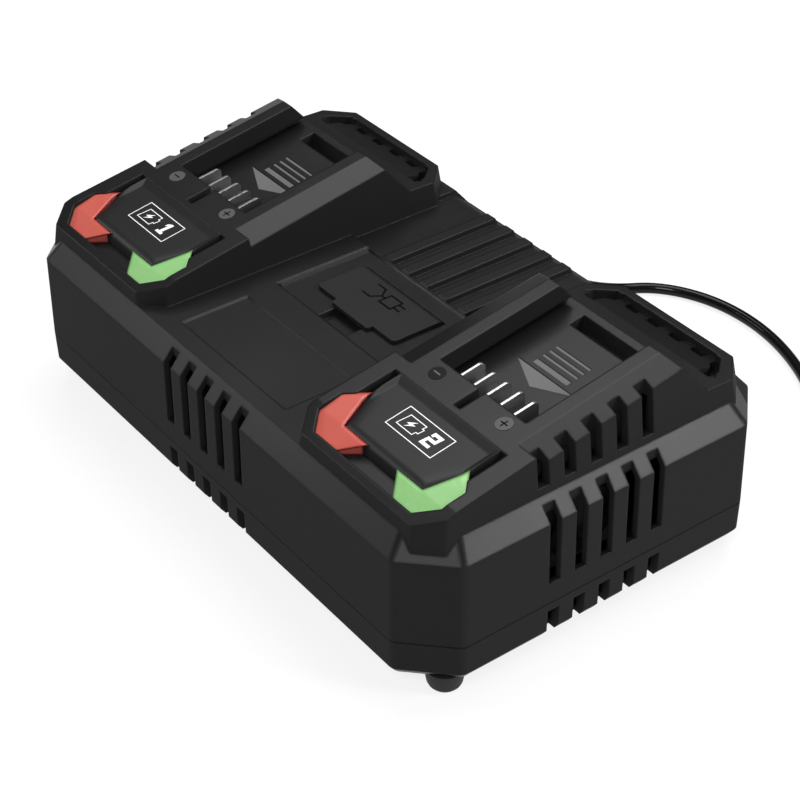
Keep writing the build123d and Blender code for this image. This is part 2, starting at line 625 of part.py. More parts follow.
# Lower half of the case: floor, walls, lip, screw seats, board posts and the fan's cradle
FLOOR_TOP_Z = BASE_Z + FLOOR
with BuildPart() as lower_housing:
    loft([octagon(BASE_Z, BASE_INSET + BASE_EDGE * 0.7), octagon(BASE_Z + BASE_EDGE, BASE_INSET)])
    loft([octagon(BASE_Z + BASE_EDGE, BASE_INSET), octagon(SPLIT_Z)])
    extrude(octagon(FLOOR_TOP_Z, BASE_WALL), amount=SPLIT_Z - FLOOR_TOP_Z, mode=Mode.SUBTRACT)
    lip_outer = WALL + FIT
    with BuildSketch(Plane.XY.offset(SPLIT_Z - 0.5)):
        add(octagon(0, lip_outer))
        add(octagon(0, lip_outer + LIP_THICKNESS), mode=Mode.SUBTRACT)
    extrude(amount=LIP_HEIGHT + 0.5)
    for place in (front_vents, right_vents, left_vents):
        add(base_vents.moved(place), mode=Mode.SUBTRACT)
    with BuildSketch(Plane.XY.offset(FLOOR_TOP_Z - 0.5)):
        with GridLocations(2 * SCREW_PLACE[0], 2 * SCREW_PLACE[1], 2, 2):
            Circle(POST_DIAMETER / 2)
    extrude(amount=POST_END_Z - FLOOR_TOP_Z + 0.5)
    with BuildSketch(Plane.XY.offset(BASE_Z)):
        with GridLocations(2 * SCREW_PLACE[0], 2 * SCREW_PLACE[1], 2, 2):
            Circle(SCREW_SHANK / 2 + PIN_FIT)
    extrude(amount=POST_END_Z - BASE_Z, mode=Mode.SUBTRACT)
    with BuildSketch(Plane.XY.offset(BASE_Z)):
        with GridLocations(2 * SCREW_PLACE[0], 2 * SCREW_PLACE[1], 2, 2):
            Circle(SCREW_HEAD / 2 + FIT)
    extrude(amount=SCREW_SINK, mode=Mode.SUBTRACT)
    with BuildSketch(Plane.XY.offset(FLOOR_TOP_Z - 0.5)):
        with GridLocations(2 * BOARD_POST[0], 2 * BOARD_POST[1], 2, 2):
            Circle(BOARD_POST_DIAMETER / 2)
    extrude(amount=BOARD_Z - FLOOR_TOP_Z + 0.5)
    fan_bottom = FAN_Z - FAN_SIZE / 2
    with BuildSketch(Plane.XY.offset(FLOOR_TOP_Z - 0.5)):
        with Locations((FAN_X, 0)):
            Rectangle(FAN_DEPTH + 2 * CRADLE, FAN_SIZE + 2 * CRADLE)
    extrude(amount=fan_bottom + CRADLE - FLOOR_TOP_Z + 0.5)
    with BuildSketch(Plane.XY.offset(fan_bottom)):
        with Locations((FAN_X, 0)):
            Rectangle(FAN_DEPTH + 2 * FIT, FAN_SIZE + 2 * FIT)
    extrude(amount=CRADLE + 1, mode=Mode.SUBTRACT)
    with BuildSketch(Plane.XY.offset(FLOOR_TOP_Z + 2)):
        with Locations((FAN_X, 0)):
            Rectangle(FAN_DEPTH + 2 * CRADLE, FAN_SIZE - 2 * CRADLE)
    extrude(amount=fan_bottom + CRADLE, mode=Mode.SUBTRACT)
    with BuildSketch(Plane.XZ.offset(-CASE_DEPTH / 2 - 5)):
        with Locations((CORD_X, GLAND_Z)):
            Circle(BOOT_ROOT / 2 + FIT)
    extrude(amount=20, mode=Mode.SUBTRACT)
    # Room for the flange inside the wall
    with BuildSketch(Plane.XZ.offset(-CASE_DEPTH / 2 + WALL)):
        with Locations((CORD_X, GLAND_Z)):
            Circle(BOOT_FLANGE / 2 + FIT)
    extrude(amount=BOOT_FLANGE_DEPTH + BASE_WALL, mode=Mode.SUBTRACT)
lower_housing.part.label = "lower_housing"
export_step(lower_housing.part, "parts/lower_housing.step")

# Rubber feet, tapered and rounded at the sole
for end, side in (("left", -1), ("right", 1)):
    for row, place in (("front", FRONT_FOOT), ("rear", REAR_FOOT)):
        with BuildPart() as foot:
            with BuildSketch(Plane.XY):
                with Locations((side * place[0], place[1])):
                    Circle(FOOT_SOLE / 2)
            with BuildSketch(Plane.XY.offset(BASE_Z)):
                with Locations((side * place[0], place[1])):
                    Circle(FOOT_TOP / 2)
            loft()
            fillet(foot.faces().sort_by(Axis.Z)[0].edges(), FOOT_ROUND)
        foot.part.label = f"foot_{row}_{end}"
        export_step(foot.part, f"parts/foot_{row}_{end}.step")

# Screws that hold the two halves together, driven from below
for end, x in (("left", -SCREW_PLACE[0]), ("right", SCREW_PLACE[0])):
    for row, y in (("front", -SCREW_PLACE[1]), ("rear", SCREW_PLACE[1])):
        with BuildPart() as screw:
            with BuildSketch(Plane.XY.offset(BASE_Z + SCREW_SINK)):
                with Locations((x, y)):
                    Circle(SCREW_HEAD / 2)
            extrude(amount=-SCREW_HEAD_HEIGHT + 0.8)
            with BuildSketch(Plane.XY.offset(BASE_Z + SCREW_SINK)):
                with Locations((x, y)):
                    Circle(SCREW_SHANK / 2)
            extrude(amount=SCREW_LENGTH - 4)
            with BuildSketch(Plane.XY.offset(BASE_Z + SCREW_SINK - SCREW_HEAD_HEIGHT + 0.8)):
                with Locations((x, y)):
                    Rectangle(4.2, 0.9)
                    Rectangle(0.9, 4.2)
            extrude(amount=1.1, mode=Mode.SUBTRACT)
        screw.part.label = f"case_screw_{row}_{end}"
        export_step(screw.part, f"parts/case_screw_{row}_{end}.step")


def tile_plan(x, height):
    """Plan of a label tile: straight sides, bevelled front corners."""
    with BuildSketch(Plane.XY.offset(height)) as plan:
        with BuildLine():
            Polyline(
                (x - TILE_HALF, RECESS_BACK),
                (x - TILE_HALF, TILE_SHOULDER),
                (x - TILE_NOSE_HALF, TILE_FRONT),
                (x + TILE_NOSE_HALF, TILE_FRONT),
                (x + TILE_HALF, TILE_SHOULDER),
                (x + TILE_HALF, RECESS_BACK),
                close=True,
            )
        make_face()
    return plan.sketch


def pipe_plan(x, side, height):
    """Plan of a light pipe that wraps round one front corner of the tile."""
    with BuildSketch(Plane.XY.offset(height)) as plan:
        with BuildLine():
            Polyline(
                (x + side * (TILE_HALF + FIT), PIPE_BACK),
                (x + side * (RECESS_BULGE - FIT), RECESS_WIDEN[1] - FIT),
                (x + side * (RECESS_BULGE - FIT), RECESS_NOSE + FIT),
                (x + side * PIPE_FRONT[0], RECESS_FRONT + FIT),
                (x + side * PIPE_FRONT[1], RECESS_FRONT + FIT),
                (x + side * PIPE_TIP, TILE_FRONT - FIT),
                (x + side * TILE_NOSE_HALF, TILE_FRONT - FIT),
                (x + side * (TILE_HALF + FIT), TILE_SHOULDER),
                close=True,
            )
        make_face()
    return plan.sketch


for name, x in (("left", -DOCK_X), ("right", DOCK_X)):
    # Label tile, flush with the dock's top and sunk in its label field
    with BuildPart() as tile:
        extrude(tile_plan(x, WALL_TOP_Z), amount=top_of_cutters - WALL_TOP_Z)
        extrude(side_profile([
            (-CASE_DEPTH, dock_top(-CASE_DEPTH, RECESS_DEPTH)),
            (0, dock_top(0, RECESS_DEPTH)),
            (0, dock_top(0)),
            (-CASE_DEPTH, dock_top(-CASE_DEPTH)),
        ]), amount=CASE_WIDTH, both=True, mode=Mode.INTERSECT)
        top_face = tile.faces().sort_by(Axis.Z)[-1]
        front_edges = top_face.edges().filter_by(lambda edge: edge.center().Y < RECESS_BACK - 1)
        fillet(front_edges, TILE_ROUND)
        tile_top = Plane(origin=(x, 0, dock_top(0)), x_dir=(1, 0, 0),
                         z_dir=(0, -sin(SLOPE_ANGLE), cos(SLOPE_ANGLE)))
        with BuildSketch(tile_top.offset(-LABEL_DEPTH)):
            with Locations((0, (TILE_FRONT + RECESS_BACK) / 2 + LABEL_SHIFT)):
                Rectangle(*LABEL_SIZE)
        extrude(amount=LABEL_DEPTH + 1, taper=-45, mode=Mode.SUBTRACT)
    tile.part.label = f"label_tile_{name}"
    export_step(tile.part, f"parts/label_tile_{name}.step")

    # Red pipe on the left front corner, green on the right
    for colour, side in (("red", -1), ("green", 1)):
        with BuildPart() as pipe:
            extrude(pipe_plan(x, side, WALL_TOP_Z), amount=top_of_cutters - WALL_TOP_Z)
            extrude(side_profile([
                (-CASE_DEPTH, dock_top(-CASE_DEPTH, RECESS_DEPTH)),
                (0, dock_top(0, RECESS_DEPTH)),
                (0, dock_top(PIPE_BACK) - PIPE_TOP_SLOPE * PIPE_BACK),
                (PIPE_BREAK, dock_top(PIPE_BACK) + PIPE_TOP_SLOPE * (PIPE_BREAK - PIPE_BACK)),
                (RECESS_FRONT, PIPE_FRONT_Z),
                (-CASE_DEPTH, dock_top(-CASE_DEPTH, RECESS_DEPTH) + 0.5),
            ]), amount=CASE_WIDTH, both=True, mode=Mode.INTERSECT)
            with BuildSketch(Plane.XY.offset(DECK_UNDERSIDE_Z + 0.3)):
                with Locations((x + side * PIPE_STEM_PLACE[0], PIPE_STEM_PLACE[1])):
                    Circle(PIPE_STEM / 2)
            extrude(amount=dock_top(PIPE_STEM_PLACE[1], RECESS_DEPTH) - DECK_UNDERSIDE_Z + 0.5)
        pipe.part.label = f"light_{colour}_{name}"
        export_step(pipe.part, f"parts/light_{colour}_{name}.step")

    # Board with the indicator LEDs, under the pipes
    with BuildPart() as led_board:
        with BuildSketch(Plane.XY.offset(DECK_UNDERSIDE_Z)):
            with Locations((x, LED_BOARD_Y)):
                Rectangle(LED_BOARD[0], LED_BOARD[1])
        extrude(amount=-LED_BOARD[2])
    led_board.part.label = f"led_board_{name}"
    export_step(led_board.part, f"parts/led_board_{name}.step")

    # Block under the bay floor that carries the blades
    with BuildPart() as block:
        extrude(side_profile([
            (BLOCK_FRONT, BLOCK_BOTTOM_Z),
            (BLOCK_FRONT, dock_top(BLOCK_FRONT, FLOOR_DROP + BAY_FLOOR_WALL)),
            (BLOCK_BACK, dock_top(BLOCK_BACK, FLOOR_DROP + BAY_FLOOR_WALL)),
            (BLOCK_BACK, BLOCK_BOTTOM_Z),
        ]).moved(Location((x, 0, 0))), amount=BLOCK_HALF, both=True)
        with Locations((x, 0, 0)):
            with GridLocations(BLADE_PITCH, 1, BLADE_COUNT, 1):
                add(extrude(blade_profile(BLADE_FIT), amount=BLADE_THICKNESS / 2 + BLADE_FIT,
                            both=True, mode=Mode.PRIVATE), mode=Mode.SUBTRACT)
    block.part.label = f"terminal_block_{name}"
    export_step(block.part, f"parts/terminal_block_{name}.step")

    # Contact blades, one piece each
    for number in range(BLADE_COUNT):
        blade_x = x + (number - (BLADE_COUNT - 1) / 2) * BLADE_PITCH
        with BuildPart() as blade:
            extrude(blade_profile().moved(Location((blade_x, 0, 0))),
                    amount=BLADE_THICKNESS / 2, both=True)
        blade.part.label = f"contact_{name}_{number + 1}"
        export_step(blade.part, f"parts/contact_{name}_{number + 1}.step")

# USB cover: a plate with a lifting tab and a hinge barrel along its back edge
with BuildPart() as usb_cover:
    with BuildSketch(Plane.XY.offset(USB_RECESS_Z + 0.1)):
        with Locations((0, (COVER_FRONT + HINGE_Y) / 2)):
            Rectangle(2 * COVER_HALF, HINGE_Y - COVER_FRONT)
        with Locations((0, (TAB_FRONT + COVER_FRONT) / 2 + 1)):
            Rectangle(2 * TAB_HALF, COVER_FRONT - TAB_FRONT + 2)
    extrude(amount=COVER_TOP_Z - USB_RECESS_Z - 0.1)
    corners = usb_cover.edges().filter_by(Axis.Z).group_by(Axis.Y)
    fillet(corners[0], 1.2)
    fillet(usb_cover.edges().filter_by(Axis.Z).filter_by(
        lambda edge: abs(abs(edge.center().X) - COVER_HALF) < 0.01 and edge.center().Y < 0), 2.0)
    with BuildSketch(Plane.YZ.offset(-COVER_HALF)):
        with Locations((HINGE_Y, HINGE_Z)):
            Circle(HINGE_RADIUS)
    extrude(amount=2 * COVER_HALF)
    with BuildSketch(Plane.YZ.offset(-COVER_HALF)):
        with Locations((HINGE_Y, HINGE_Z)):
            Circle(HINGE_PIN / 2 + PIN_FIT)
    extrude(amount=2 * COVER_HALF, mode=Mode.SUBTRACT)
usb_cover.part.label = "usb_cover"
export_step(usb_cover.part, "parts/usb_cover.step")

with BuildPart() as hinge_pin:
    with BuildSketch(Plane.YZ.offset(-COVER_HALF - PIN_HOLD)):
        with Locations((HINGE_Y, HINGE_Z)):
            Circle(HINGE_PIN / 2)
    extrude(amount=2 * (COVER_HALF + PIN_HOLD))
hinge_pin.part.label = "hinge_pin"
export_step(hinge_pin.part, "parts/hinge_pin.step")

# Twin USB socket: a moulded block and two metal shells
with BuildPart() as usb_socket:
    with BuildSketch(Plane.XY.offset(SOCKET_TOP_Z - SOCKET_HEIGHT)):
        with Locations((0, (SOCKET_FRONT + SOCKET_BACK) / 2)):
            Rectangle(2 * SOCKET_HALF, SOCKET_BACK - SOCKET_FRONT)
    extrude(amount=SOCKET_HEIGHT)
    with BuildSketch(Plane.XY.offset(SOCKET_TOP_Z)):
        with Locations((0, (SOCKET_FRONT + SOCKET_BACK) / 2)):
            with GridLocations(PORT_SPACING, 1, 2, 1):
                Rectangle(PORT_SIZE[0] + 0.8, PORT_SIZE[1] + 0.8)
    extrude(amount=-PORT_SIZE[2], mode=Mode.SUBTRACT)
usb_socket.part.label = "usb_socket"
export_step(usb_socket.part, "parts/usb_socket.step")

for number, x in ((1, -PORT_SPACING / 2), (2, PORT_SPACING / 2)):
    with BuildPart() as shell:
        with BuildSketch(Plane.XY.offset(SOCKET_TOP_Z - PORT_SIZE[2])):
            with Locations((x, (SOCKET_FRONT + SOCKET_BACK) / 2)):
                Rectangle(PORT_SIZE[0] + 0.8, PORT_SIZE[1] + 0.8)
                Rectangle(PORT_SIZE[0], PORT_SIZE[1], mode=Mode.SUBTRACT)
        extrude(amount=PORT_SIZE[2] + 0.4)
        with BuildSketch(Plane.XY.offset(SOCKET_TOP_Z - PORT_SIZE[2])):
            with Locations((x, (SOCKET_FRONT + SOCKET_BACK) / 2)):
                Rectangle(PORT_SIZE[0] + 0.8, PORT_SIZE[1] + 0.8)
        extrude(amount=0.6)
        with BuildSketch(Plane.XY.offset(SOCKET_TOP_Z - PORT_SIZE[2])):
            with Locations((x, (SOCKET_FRONT + SOCKET_BACK) / 2 + 1.2)):
                Rectangle(PORT_SIZE[0] - 2, 1.6)
        extrude(amount=PORT_SIZE[2] - 1)
    shell.part.label = f"usb_port_{number}"
    export_step(shell.part, f"parts/usb_port_{number}.step")

# Main circuit board and the large components on it
with BuildPart() as board:
    with BuildSketch(Plane.XY.offset(BOARD_Z)):
        Rectangle(BOARD_SIZE[0], BOARD_SIZE[1])
    extrude(amount=BOARD_SIZE[2])
board.part.label = "main_board"
export_step(board.part, "parts/main_board.step")

BOARD_TOP_Z = BOARD_Z + BOARD_SIZE[2]
with BuildPart() as transformer:
    with BuildSketch(Plane.XY.offset(BOARD_TOP_Z)):
        with Locations(TRANSFORMER_PLACE):
            Rectangle(TRANSFORMER[0], TRANSFORMER[1] * 0.5)
    extrude(amount=TRANSFORMER[2])
    with BuildSketch(Plane.XY.offset(BOARD_TOP_Z + 4)):
        with Locations(TRANSFORMER_PLACE):
            Rectangle(TRANSFORMER[0] * 0.66, TRANSFORMER[1])
    extrude(amount=TRANSFORMER[2] - 8)
transformer.part.label = "transformer"
export_step(transformer.part, "parts/transformer.step")

for number in range(2):
    with BuildPart() as capacitor:
        with BuildSketch(Plane.XY.offset(BOARD_TOP_Z)):
            with Locations((CAPACITOR_PLACE[0] + number * CAPACITOR_SPACING, CAPACITOR_PLACE[1])):
                Circle(CAPACITOR[0] / 2)
        extrude(amount=CAPACITOR[1])
        fillet(capacitor.edges().group_by(Axis.Z)[-1], 1.5)
    capacitor.part.label = f"capacitor_{number + 1}"
    export_step(capacitor.part, f"parts/capacitor_{number + 1}.step")

for number, place_x in ((1, SINK_PLACE[0]), (2, -SINK_PLACE[0] - 16)):
    with BuildPart() as heat_sink:
        with BuildSketch(Plane.XY.offset(BOARD_TOP_Z)):
            with Locations((place_x, SINK_PLACE[1])):
                Rectangle(SINK_SIZE[0], SINK_SIZE[1])
            fin_pitch = (SINK_SIZE[1] - SINK_FIN[1]) / (SINK_FIN_COUNT - 1)
            with Locations((place_x + (SINK_SIZE[0] + SINK_FIN[0]) / 2 - 0.01, SINK_PLACE[1])):
                with GridLocations(1, fin_pitch, 1, SINK_FIN_COUNT):
                    Rectangle(SINK_FIN[0], SINK_FIN[1])
        extrude(amount=SINK_SIZE[2])
    heat_sink.part.label = f"heat_sink_{number}"
    export_step(heat_sink.part, f"parts/heat_sink_{number}.step")

# Cooling fan behind the right side vents: a square frame, and a rotor on its shaft
fan_back = FAN_X - FAN_DEPTH / 2
with BuildPart() as fan_frame:
    with BuildSketch(Plane.YZ.offset(fan_back)):
        with Locations((0, FAN_Z)):
            RectangleRounded(FAN_SIZE, FAN_SIZE, 2.0)
            Circle(FAN_BORE / 2, mode=Mode.SUBTRACT)
    extrude(amount=FAN_DEPTH)
    with BuildSketch(Plane.YZ.offset(fan_back)):
        with Locations((0, FAN_Z)):
            Circle(FAN_HUB / 2)
            Rectangle(FAN_BORE + 1, FAN_SPOKE)
            Rectangle(FAN_SPOKE, FAN_BORE + 1)
            Circle(FAN_SHAFT / 2 + PIN_FIT, mode=Mode.SUBTRACT)
    extrude(amount=1.8)
fan_frame.part.label = "fan_frame"
export_step(fan_frame.part, "parts/fan_frame.step")

with BuildPart() as fan_rotor:
    with BuildSketch(Plane.YZ.offset(fan_back + 2.4)):
        with Locations((0, FAN_Z)):
            Circle(FAN_HUB / 2)
    extrude(amount=FAN_DEPTH - 3.2)
    with BuildSketch(Plane.YZ.offset(fan_back + 0.2)):
        with Locations((0, FAN_Z)):
            Circle(FAN_SHAFT / 2)
    extrude(amount=4)
    blade_span = FAN_BORE / 2 - FAN_TIP_GAP - FAN_HUB / 2 + 1
    for number in range(FAN_BLADES):
        turn = 360 * number / FAN_BLADES
        with BuildSketch(Plane((FAN_X + 0.4, 0, FAN_Z), x_dir=(0, cos(radians(turn)), sin(radians(turn))),
                               z_dir=(1, 0, 0)).rotated((38, 0, 0))):
            with Locations((FAN_HUB / 2 - 1 + blade_span / 2, 0)):
                Rectangle(blade_span, 8.5)
        extrude(amount=FAN_BLADE / 2, both=True)
    with BuildSketch(Plane.YZ.offset(fan_back + 2.4)):
        with Locations((0, FAN_Z)):
            Circle(FAN_BORE / 2 - FAN_TIP_GAP)
    extrude(amount=FAN_DEPTH - 3.2, mode=Mode.INTERSECT)
    with BuildSketch(Plane.YZ.offset(fan_back + 0.2)):
        with Locations((0, FAN_Z)):
            Circle(FAN_SHAFT / 2)
    extrude(amount=4)
fan_rotor.part.label = "fan_rotor"
export_step(fan_rotor.part, "parts/fan_rotor.step")

# Strain relief: flange inside the wall, neck through it, ribbed taper outside
wall_y = CASE_DEPTH / 2
boot_end = wall_y + BOOT_LENGTH
rib_pitch = (BOOT_LENGTH - 5) / BOOT_RIBS
with BuildPart() as boot:
    with BuildSketch(Plane((CORD_X, 0, GLAND_Z), x_dir=(1, 0, 0), z_dir=(0, 0, 1))):
        with BuildLine():
            outline = [(0, wall_y - WALL - BOOT_FLANGE_DEPTH)]
            outline.append((BOOT_FLANGE / 2, wall_y - WALL - BOOT_FLANGE_DEPTH))
            outline.append((BOOT_FLANGE / 2, wall_y - WALL - FIT))
            outline.append((BOOT_ROOT / 2, wall_y - WALL - FIT))
            outline.append((BOOT_ROOT / 2, wall_y + 3))
            for number in range(BOOT_RIBS):
                share = (number + 1) / BOOT_RIBS
                start = wall_y + 3 + number * rib_pitch
                radius = (BOOT_ROOT + (BOOT_TIP - BOOT_ROOT) * share) / 2
                outline.append((radius - 0.8, start + 0.2))
                outline.append((radius - 0.8, start + 0.4 * rib_pitch))
                outline.append((radius, start + 0.4 * rib_pitch + 0.2))
                outline.append((radius, start + rib_pitch))
            outline.append((BOOT_TIP / 2, boot_end))
            outline.append((0, boot_end))
            Polyline(*outline, close=True)
        make_face()
    revolve(axis=Axis((CORD_X, 0, GLAND_Z), (0, 1, 0)))
boot.part.label = "strain_relief"
export_step(boot.part, "parts/strain_relief.step")

# Lead: out of the boot, down to the floor and along it to the put-away coil
CORD_Z = CORD / 2 + FLOOR_GAP
ROUTE = [
    (CORD_X, boot_end, GLAND_Z),
    (CORD_X, boot_end + 14.5, GLAND_Z),
    (-23.0, 139.5, CORD_Z),
    (-9.5, 156.5, CORD_Z),
    (15.5, 168.5, CORD_Z),
    (48.0, 168.0, CORD_Z),
    (83.0, 154.0, CORD_Z),
    (108.0, 133.0, CORD_Z),
    (123.0, 119.8, CORD_Z),
]


def corner_radii(points):
    """Largest arc at each corner that leaves a tenth of the shorter run straight."""
    radii = []
    for before, corner, after in zip(points, points[1:], points[2:]):
        first = Vector(*corner) - Vector(*before)
        second = Vector(*after) - Vector(*corner)
        half_turn = radians(first.get_angle(second)) / 2
        radii.append(0.45 * min(first.length, second.length) / tan(half_turn))
    return radii


cord_radii = corner_radii(ROUTE)
print("cord radii in diameters:", [round(radius / CORD, 1) for radius in cord_radii])
with BuildPart() as cord:
    with BuildLine() as cord_line:
        FilletPolyline(*ROUTE, radius=cord_radii)
    with BuildSketch(Plane(ROUTE[0], z_dir=(0, 1, 0))):
        Circle(CORD / 2)
    sweep(path=cord_line.wires()[0])
tube_length = cord_line.wires()[0].length
print("tube length", round(tube_length, 1), "volume ratio",
      round(cord.part.volume / (tube_length * pi * CORD ** 2 / 4), 4))
cord.part.label = "cord"
export_step(cord.part, "parts/cord.step")

# Flat two-pin plug beside the coil. The lead's tail leaves the coil's top outer turn and sinks
# to the plug's neck.
coil_height = COIL_LAYERS * CORD
tail_start = COIL_CENTRE[1] + 2 * TAIL_SINK
plug_x = COIL_CENTRE[0] + COIL_RADIUS + (COIL_ROWS - 1) * CORD / 2
plug_z = PLUG_BODY[2] / 2 + FLOOR_GAP
neck_start = COIL_CENTRE[1] + TAIL_LENGTH
body_start = neck_start + PLUG_NECK
with BuildPart() as plug:
    with BuildSketch(Plane.XZ.offset(-tail_start)):
        with Locations((plug_x - TAIL_SINK, FLOOR_GAP + coil_height - CORD / 2 - TAIL_SINK)):
            Circle(CORD / 2)
    with BuildSketch(Plane.XZ.offset(-neck_start)):
        with Locations((plug_x, plug_z)):
            Circle(CORD / 2)
    loft()
    with BuildSketch(Plane.XZ.offset(-neck_start)):
        with Locations((plug_x, plug_z)):
            Circle(CORD / 2 + 0.8)
    with BuildSketch(Plane.XZ.offset(-body_start)):
        with Locations((plug_x, plug_z)):
            Circle(CORD / 2 + 2.2)
    loft()
    with BuildSketch(Plane.XZ.offset(-body_start)):
        with Locations((plug_x, plug_z)):
            RectangleRounded(PLUG_BACK, PLUG_BODY[2], PLUG_ROUND)
    with BuildSketch(Plane.XZ.offset(-body_start - PLUG_BODY[1])):
        with Locations((plug_x, plug_z)):
            RectangleRounded(PLUG_BODY[0], PLUG_BODY[2], PLUG_ROUND)
    loft()
    with BuildSketch(Plane.XZ.offset(-body_start - PLUG_BODY[1])):
        with Locations((plug_x, plug_z)):
            with GridLocations(PLUG_PIN_SPACING, 1, 2, 1):
                Circle(PLUG_PIN / 2)
    extrude(amount=PLUG_PIN_ROOT, mode=Mode.SUBTRACT)
plug.part.label = "mains_plug"
export_step(plug.part, "parts/mains_plug.step")

for number, side in ((1, -1), (2, 1)):
    with BuildPart() as pin:
        with BuildSketch(Plane.XZ.offset(PLUG_PIN_ROOT - body_start - PLUG_BODY[1])):
            with Locations((plug_x + side * PLUG_PIN_SPACING / 2, plug_z)):
                Circle(PLUG_PIN / 2)
        extrude(amount=-PLUG_PIN_ROOT - PLUG_PIN_LENGTH)
        fillet(pin.edges().group_by(Axis.Y)[-1], PLUG_PIN / 4)
    pin.part.label = f"plug_pin_{number}"
    export_step(pin.part, f"parts/plug_pin_{number}.step")

# Put-away coil as one closed ring, with room for the lead that runs into it and for the tail
coil_width = COIL_ROWS * CORD
ring_plane = Plane((COIL_CENTRE[0], COIL_CENTRE[1], FLOOR_GAP), x_dir=(1, 0, 0), z_dir=(0, -1, 0))
with BuildPart() as coil:
    with BuildSketch(ring_plane):
        with Locations((COIL_RADIUS, coil_height / 2)):
            RectangleRounded(coil_width, coil_height, CORD / 2)
    revolve(axis=Axis((COIL_CENTRE[0], COIL_CENTRE[1], 0), (0, 0, 1)))
    add(plug.part, mode=Mode.SUBTRACT)
    add(cord.part, mode=Mode.SUBTRACT)
coil.part.label = "cord_coil"
export_step(coil.part, "parts/cord_coil.step")
coil_length = (COIL_ROWS * COIL_LAYERS + COIL_PART_TURN) * 2 * pi * COIL_RADIUS
print("lead length", round(tube_length + coil_length + TAIL_LENGTH))
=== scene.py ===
"""Dressed model of a two-dock charger for slide-on tool batteries.

Everything stands in metres, in the frame of the charger's CAD.
"""
import math

import bmesh
import bpy
import numpy as np
from mathutils import Matrix, Vector


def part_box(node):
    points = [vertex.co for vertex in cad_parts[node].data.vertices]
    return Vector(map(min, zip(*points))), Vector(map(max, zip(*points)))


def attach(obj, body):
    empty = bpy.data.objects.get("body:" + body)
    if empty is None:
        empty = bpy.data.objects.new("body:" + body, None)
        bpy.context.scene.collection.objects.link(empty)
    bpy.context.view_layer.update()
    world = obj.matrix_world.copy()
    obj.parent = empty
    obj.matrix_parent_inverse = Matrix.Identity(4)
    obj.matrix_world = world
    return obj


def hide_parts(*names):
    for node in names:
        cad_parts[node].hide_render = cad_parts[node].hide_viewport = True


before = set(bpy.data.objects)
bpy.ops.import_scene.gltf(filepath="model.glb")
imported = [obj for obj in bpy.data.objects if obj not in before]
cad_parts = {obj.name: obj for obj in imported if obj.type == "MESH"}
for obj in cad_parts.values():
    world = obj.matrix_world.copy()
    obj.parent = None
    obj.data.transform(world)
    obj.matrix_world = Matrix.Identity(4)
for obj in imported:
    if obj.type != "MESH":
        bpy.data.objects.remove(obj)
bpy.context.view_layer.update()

# --- Camera -----------------------------------------------------------------
# A long lens, high over the near corner where the front and the right end meet. It is rolled
# a little about its line of sight.
EYE = Vector((0.514565, -0.368264, 0.485595))
LOOK = Vector((-0.65009, 0.47644, -0.59193)).normalized()
ROLL = math.radians(-0.731)
FOCAL_LENGTH = 90.86
SENSOR_WIDTH = 36.0
VIEW_REACH = 20.0

level = LOOK.cross(Vector((0, 0, 1))).normalized()
upright = level.cross(LOOK)
right = math.cos(ROLL) * level + math.sin(ROLL) * upright
up = math.cos(ROLL) * upright - math.sin(ROLL) * level
lens = bpy.data.cameras.new("long_lens")
lens.lens = FOCAL_LENGTH
lens.sensor_width = SENSOR_WIDTH
lens.sensor_fit = "HORIZONTAL"
lens.clip_end = VIEW_REACH
camera = bpy.data.objects.new("camera", lens)
bpy.context.scene.collection.objects.link(camera)
camera.matrix_world = Matrix.Translation(EYE) @ Matrix((right, up, -LOOK)).transposed().to_4x4()
bpy.context.scene.camera = camera
bpy.context.scene.view_settings.view_transform = "Standard"

# --- Studio -----------------------------------------------------------------
# A white table, four cloth-fronted soft boxes and a faint white room. The table looks white and
# keeps the charger's shadow. Each box stands where one group of faces mirrors it to the lens.
WHITE = (1.0, 1.0, 1.0)
TABLE_WHITE = (0.93, 0.93, 0.93)
TABLE_REACH = 6.0
PLAIN_SHARE = 0.8
AIM = Vector((0.0, 0.0, 0.05))
# Place, width and height, and watts of each box: over the deck, and for the chamfers of the
# front, of the right end and of the near corner
SOFT_BOXES = {
    "box_over": ((-0.25, 0.4, 1.3), (1.2, 0.9), 20.0),
    "box_front": ((-0.9, -0.8, 0.65), (0.5, 0.35), 5.0),
    "box_end": ((1.1, 0.8, 0.8), (0.5, 0.5), 16.0),
    "box_near": ((0.6, -0.78, 1.05), (0.4, 0.4), 9.0),
}
ROOM_STRENGTH = 0.05


